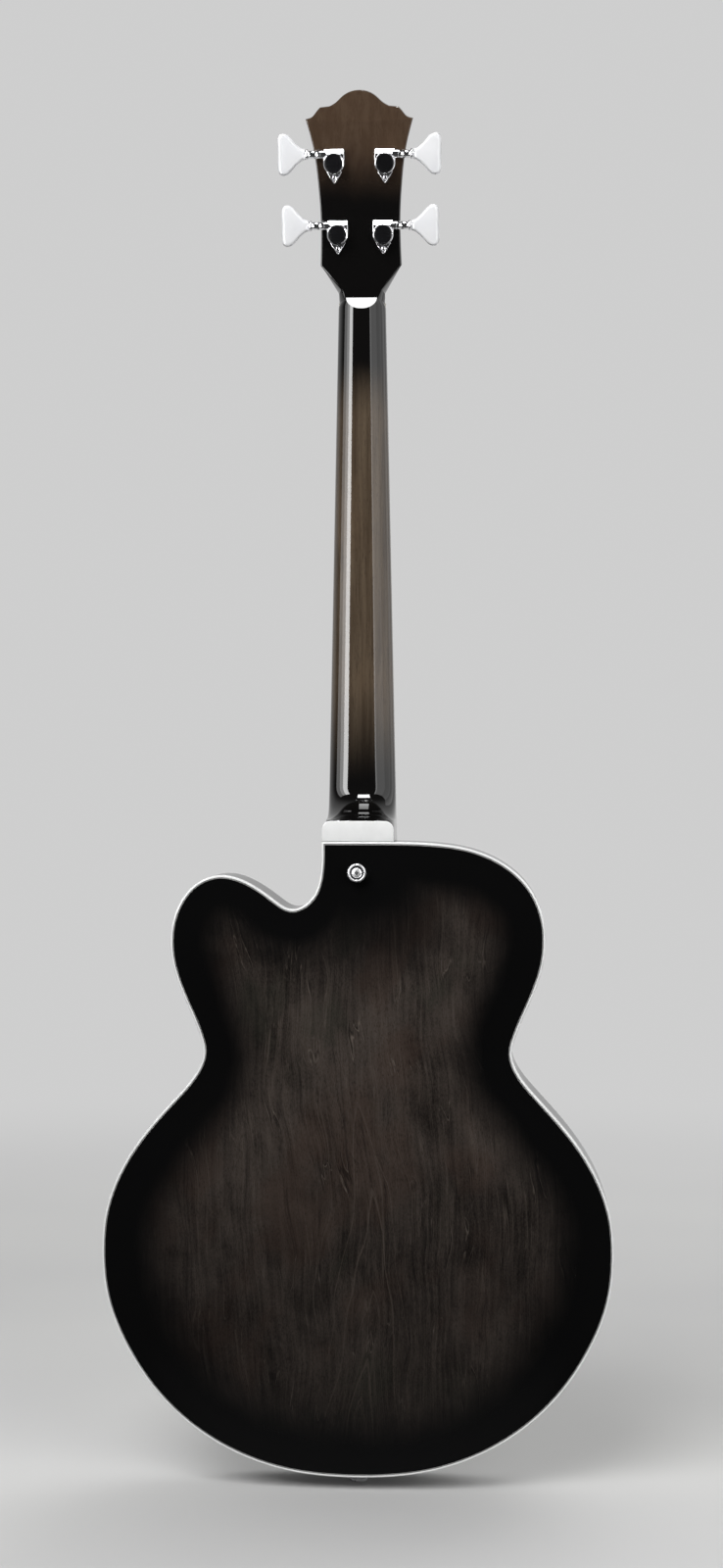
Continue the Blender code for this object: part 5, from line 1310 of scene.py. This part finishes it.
def rail_path(bar_y):
    """The tailpiece's rail in y and z, from the tail over the edge to the bar, and its other face."""
    rim_z, edge_y = BODY_BOTTOM - GAP, EDGE_Y + 0.0008
    path = spline([(0.0085, rim_z - RAIL_THICKNESS), (edge_y - 0.004, rim_z - RAIL_THICKNESS),
                   (edge_y + 0.0012, rim_z - 0.0009), (edge_y + 0.0028, rim_z + 0.0022),
                   (edge_y + 0.0040, rim_z + 0.0060),
                   (bar_y + 0.0045, TAILPIECE_Z - TAILPIECE_BAR + 0.003)], 8)
    ways = np.gradient(path, axis=0)
    ways /= np.linalg.norm(ways, axis=1)[:, None]
    return path, path + np.stack([-ways[:, 1], ways[:, 0]], axis=1) * RAIL_THICKNESS


def make_tailpiece():
    """Trapeze tailpiece: rail over the edge, with a window, and the bar that holds the strings."""
    bar_y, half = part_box("tailpiece")[1][1] - TAILPIECE_DEPTH, TAILPIECE_HALF
    outline = mirrored([(half, bar_y), (half, bar_y + 0.0045), (half * 0.95, bar_y + 0.0068),
                        (half * 0.8, bar_y + TAILPIECE_DEPTH)])
    shape = Shape().prism(outline, upright, (TAILPIECE_Z - TAILPIECE_BAR, TAILPIECE_Z + TAILPIECE_BAR),
                          edge=0.0012, steps=4)
    outer, inner = rail_path(bar_y)
    fork = int(len(outer) * 0.62)
    for left, right, span in ((-1.0, 1.0, slice(fork + 1)), (-1.0, -0.6, slice(fork, None)),
                              (0.6, 1.0, slice(fork, None))):
        shape.skin([[(share * RAIL_HALF, *spot) for share, spot in
                     ((left, near), (right, near), (right, far), (left, far))]
                    for near, far in zip(outer[span], inner[span])])
    for index in range(4):
        tip = moved(upright, string_x(index) * 0.92, bar_y + 0.0050, TAILPIECE_Z + 0.00695)
        shape.turned(mm((3.0, -1.0), (3.0, 0.0), (2.6, 0.1), (2.6, -1.0)), tip, 1, 28, hollow=True)
    shape.piece("trapeze", [CHROME, STEEL], "chrome_plate", ["tailpiece"])


# Controls

JOINTS = {joint["name"]: joint for joint in frame["joints"]}


def make_knobs(segments=144, rib=0.00022):
    """Ribbed knobs with a pointer line, on their pots' axes."""
    profile = shares(KNOB_RADIUS, (0.2623, 0.0), (0.96, 0.0), (1.0, 0.5), (1.0, 2.4), (0.93, 3.4),
                     (0.86, 6.0), (0.80, 11.9), (0.76, 13.1), (0.70, 13.5), (0.30, 13.4))

    def ribs(_, level, step):
        ribbed = 0.003 < level < KNOB_HEIGHT - 0.001
        return rib * math.cos(2 * math.pi * KNOB_RIBS * step / segments) if ribbed else 0.0

    for number in range(1, 5):
        joint = JOINTS["knob_%d_turn" % number]
        place = moved(frame_at(joint["pos_m"], joint["axis"]), 0.0, 0.0, KNOB_BASE)
        knob = Shape().turned(profile, place, segments=segments, relief=ribs)
        knob.turned(mm((2.8, -15.4), (2.8, 1.0)), place, 2, 20)
        knob.box(place, (KNOB_RADIUS * 0.25, -0.0004, KNOB_HEIGHT - 0.0004),
                 (KNOB_RADIUS * 0.72, 0.0004, KNOB_HEIGHT + 0.00004), 1)
        knob.piece("control_knob_%d" % number, [BLACK, WHITE, STEEL], "black_gloss",
                   ["knob_%d" % number], "control_%d" % number)


def make_selector():
    """The switch's lever with its tip, and its washer and nut."""
    pivot = frame_at(JOINTS["switch_tilt"]["pos_m"], SWITCH_NORMAL)
    lever = mm((0.8, -3.0), (2.6, -1.2), (2.6, 1.2), (1.5, 3.0), (1.5, 17.0), (2.2, 17.8), (3.4, 19.2),
               (4.0, 22.2), (4.2, 24.6), (3.8, 27.6), (2.6, 29.5), (0.8, 30.2))
    Shape().turned(lever, pivot, segments=36).piece(
        "selector_tip", [KEY_WHITE], "white_key", ["switch_lever"], "selector")
    place = moved(pivot, 0.0, 0.0, SWITCH_BARREL)
    washer = mm((5.5, -0.4), (11.2, -0.4), (11.2, 0.4), (10.8, 0.9), (6.0, 1.0))
    nut = mm((5.8, 0.8), (7.8, 0.8), (7.8, 2.6), (7.0, 3.4), (6.0, 3.4))
    ring = Shape().turned(washer, place, hollow=True).turned(nut, place, 1, hollow=True)
    ring.piece("selector_washer", [BLACK, CHROME], "chrome_plate")


def make_jack():
    """Output jack: round plate, nut and threaded barrel round the socket."""
    base = (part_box("output_jack")[0][0] + 0.0036, *middle_of("output_jack")[1:])
    profile = mm((3.3, -26.0), (5.5, -26.0), (5.5, 0.0), (9.3, 0.0), (9.5, 0.3), (9.5, 0.9), (9.3, 1.2),
                 (6.8, 1.2), (6.8, 2.4), (6.3, 3.4), (5.8, 3.6), (3.6, 3.6), (3.3, 3.3))
    jack = Shape().turned(profile, frame_at(base, (-1, 0, 0), (0, 1, 0)), hollow=True)
    jack.piece("jack_socket", [CHROME], "chrome_plate", ["output_jack"])


def dress_nodes():
    """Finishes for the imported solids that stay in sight."""
    for look, names in (
            (SPRUCE, "back_lining top_lining neck_block tail_block bass_tone_bar treble_tone_bar"),
            (STEEL, "truss_rod pot_1 pot_2 pot_3 pot_4 switch_body"), (BONE, "nut"),
            (STEEL, "tuner_post_e tuner_post_a tuner_post_d tuner_post_g"),
            (WOUND, "string_e string_a string_d string_g")):
        for name in names.split():
            for slot in frame["nodes"][name].material_slots:
                slot.material = look


# Studio

def seen_directly(look):
    """1 for rays from the camera, also through what lets light pass."""
    return look.larger(look.node("LightPath", {}, "Is Camera Ray"),
                       look.node("LightPath", {}, "Is Transmission Ray"))


def surroundings(look, direction):
    """Brightness of the room by direction: pale behind the instrument, dim before it.

    The picture itself shows the pale backdrop on every side.
    """
    behind = look.step(direction, -0.3, 0.6)
    in_mirror = look.times(look.node("LightPath", {}, "Is Glossy Ray"), behind)
    share = look.larger(look.larger(seen_directly(look), in_mirror), behind)
    return look.step(share, 0.0, 1.0, ROOM_DIM, ROOM_PALE)


def floor_look():
    """Pale floor that runs into the surroundings with distance and keeps the shadow close by."""
    look = Look("floor").set(specular=0.2, roughness=0.75)
    x, y = look.axis(look.place, "X"), look.axis(look.place, "Y")
    away = look.calc("SQRT", look.plus(look.times(x, x), look.times(y, y)))
    clouds = look.noise(look.stretched(1.4, 1.4, 1.4), 2)
    pale = look.over((0.66, 0.66, 0.65), (0.60, 0.60, 0.60), clouds, 0.3, 0.7)
    shown = seen_directly(look)
    look.colour(look.blend(look.larger(shown, look.step(y, -0.3, 0.15)), (0.03, 0.03, 0.03), pale))
    toward = look.calc("DIVIDE", y, look.larger(away, 0.1))
    glow = look.node("Emission", {"Strength": surroundings(look, toward)}, "Emission")
    seen = look.larger(shown, look.node("LightPath", {}, "Is Glossy Ray"))
    share = look.times(seen, look.step(away, 0.5, 2.6))
    mixed = look.node("MixShader", {"Fac": share, 1: look.shader.outputs["BSDF"], 2: glow}, "Shader")
    look.feed(look.tree.nodes["Material Output"].inputs["Surface"], mixed)
    return look.material


def make_floor():
    rims = ((FLOOR_RADIUS, 0.0), (FLOOR_RADIUS, -0.02))
    mesh = Shape().turned(rims, upright, segments=96).to_mesh("floor")
    mesh.materials.append(floor_look())
    put("floor", mesh)


class Sky(Look):
    """Node tree of the world, built with the same helpers."""

    def __init__(self, world):
        world.use_nodes = True
        self.tree = world.node_tree
        self.place = self.node("TexCoord", {}, "Generated")


def make_world():
    world = bpy.data.worlds.new("surroundings")
    bpy.context.scene.world = world
    sky = Sky(world)
    background = sky.tree.nodes["Background"]
    background.inputs["Color"].default_value = (1.0, 1.0, 1.0, 1.0)
    sky.feed(background.inputs["Strength"], surroundings(sky, sky.axis(sky.place, "Y")))


def aimed(name, data, turn, rise, distance, aim, roll=0.0):
    """New object that looks at a point, from degrees to the +X side of the view onto the back and up."""
    turn, rise = math.radians(turn), math.radians(rise)
    way = Vector((math.sin(turn) * math.cos(rise), -math.cos(turn) * math.cos(rise), math.sin(rise)))
    thing = put(name, data)
    thing.location = Vector(aim) + way * distance
    thing.rotation_mode = "QUATERNION"
    thing.rotation_quaternion = Quaternion(way, math.radians(roll)) @ way.to_track_quat("Z", "Y")
    return thing


def softbox(name, turn, rise, distance, aim, width, height, power, mirror=True, fill=True):
    """Area lamp that mirrors in what is glossy, lights the colours, or both."""
    data = bpy.data.lights.new(name, "AREA")
    data.shape, data.size, data.size_y, data.energy = "RECTANGLE", width, height, power
    lamp = aimed(name, data, turn, rise, distance, aim)
    lamp.visible_camera, lamp.visible_glossy, lamp.visible_diffuse = False, mirror, fill
    return lamp


def make_panels():
    """Tall narrow panels beside the neck, which its gloss and the chrome show."""
    height, aim = PANEL_HIGH - PANEL_LOW, (0.0, 0.0, (PANEL_HIGH + PANEL_LOW) / 2)
    panels = []
    for number, (start, end, brightness) in enumerate(PANELS):
        width = 2 * PANEL_DISTANCE * math.tan(math.radians(abs(end - start) / 2))
        panels.append(softbox("panel_%d" % number, (start + end) / 2, 0.0, PANEL_DISTANCE, aim,
                              width, height, math.pi * width * height * brightness, fill=False))
    return panels


def keep_off_back(lamps):
    """The narrow panels are set up for the neck, so the back and the sides do not mirror them."""
    apart = bpy.data.collections.new("not_mirroring_panels")
    for piece in ("back_panel", "side_band"):
        apart.objects.link(bpy.data.objects[piece])
    for entry in apart.collection_objects:
        entry.light_linking.link_state = "EXCLUDE"
    for lamp in lamps:
        lamp.light_linking.receiver_collection = apart


def make_lights():
    """Lights that only mirror, and three broad lamps that only light the colours."""
    keep_off_back(make_panels())
    softbox("high_box", 0.0, 59, 1.5, (0, 0, 0.95), 0.34, 0.55, 16.0, fill=False)
    for name, turn, rise, power in (("back_fill", -25, 38, 64.0), ("back_fill_right", 35, 12, 31.0),
                                    ("front_fill", 155, 40, 22.0)):
        softbox(name, turn, rise, 2.6, (0, 0, 0.5), 1.8, 1.8, power, mirror=False)


def make_camera():
    data = bpy.data.cameras.new("camera")
    data.sensor_fit, data.sensor_height = "VERTICAL", SENSOR
    data.lens = FOCAL_PIXELS * SENSOR / PHOTO_HEIGHT
    scene = bpy.context.scene
    scene.camera = aimed("camera", data, CAMERA_TURN, 0.0, CAMERA_DISTANCE, CAMERA_AIM, CAMERA_ROLL)
    scene.view_settings.view_transform = "Standard"


make_plates()
make_edges()
make_neck()
make_heel_cap()
make_fingerboard()
make_head_front()
make_tuners()
make_strap_buttons()
make_pickups()
make_bridge()
make_tailpiece()
make_knobs()
make_selector()
make_jack()
dress_nodes()
make_floor()
make_world()
make_lights()
make_camera()
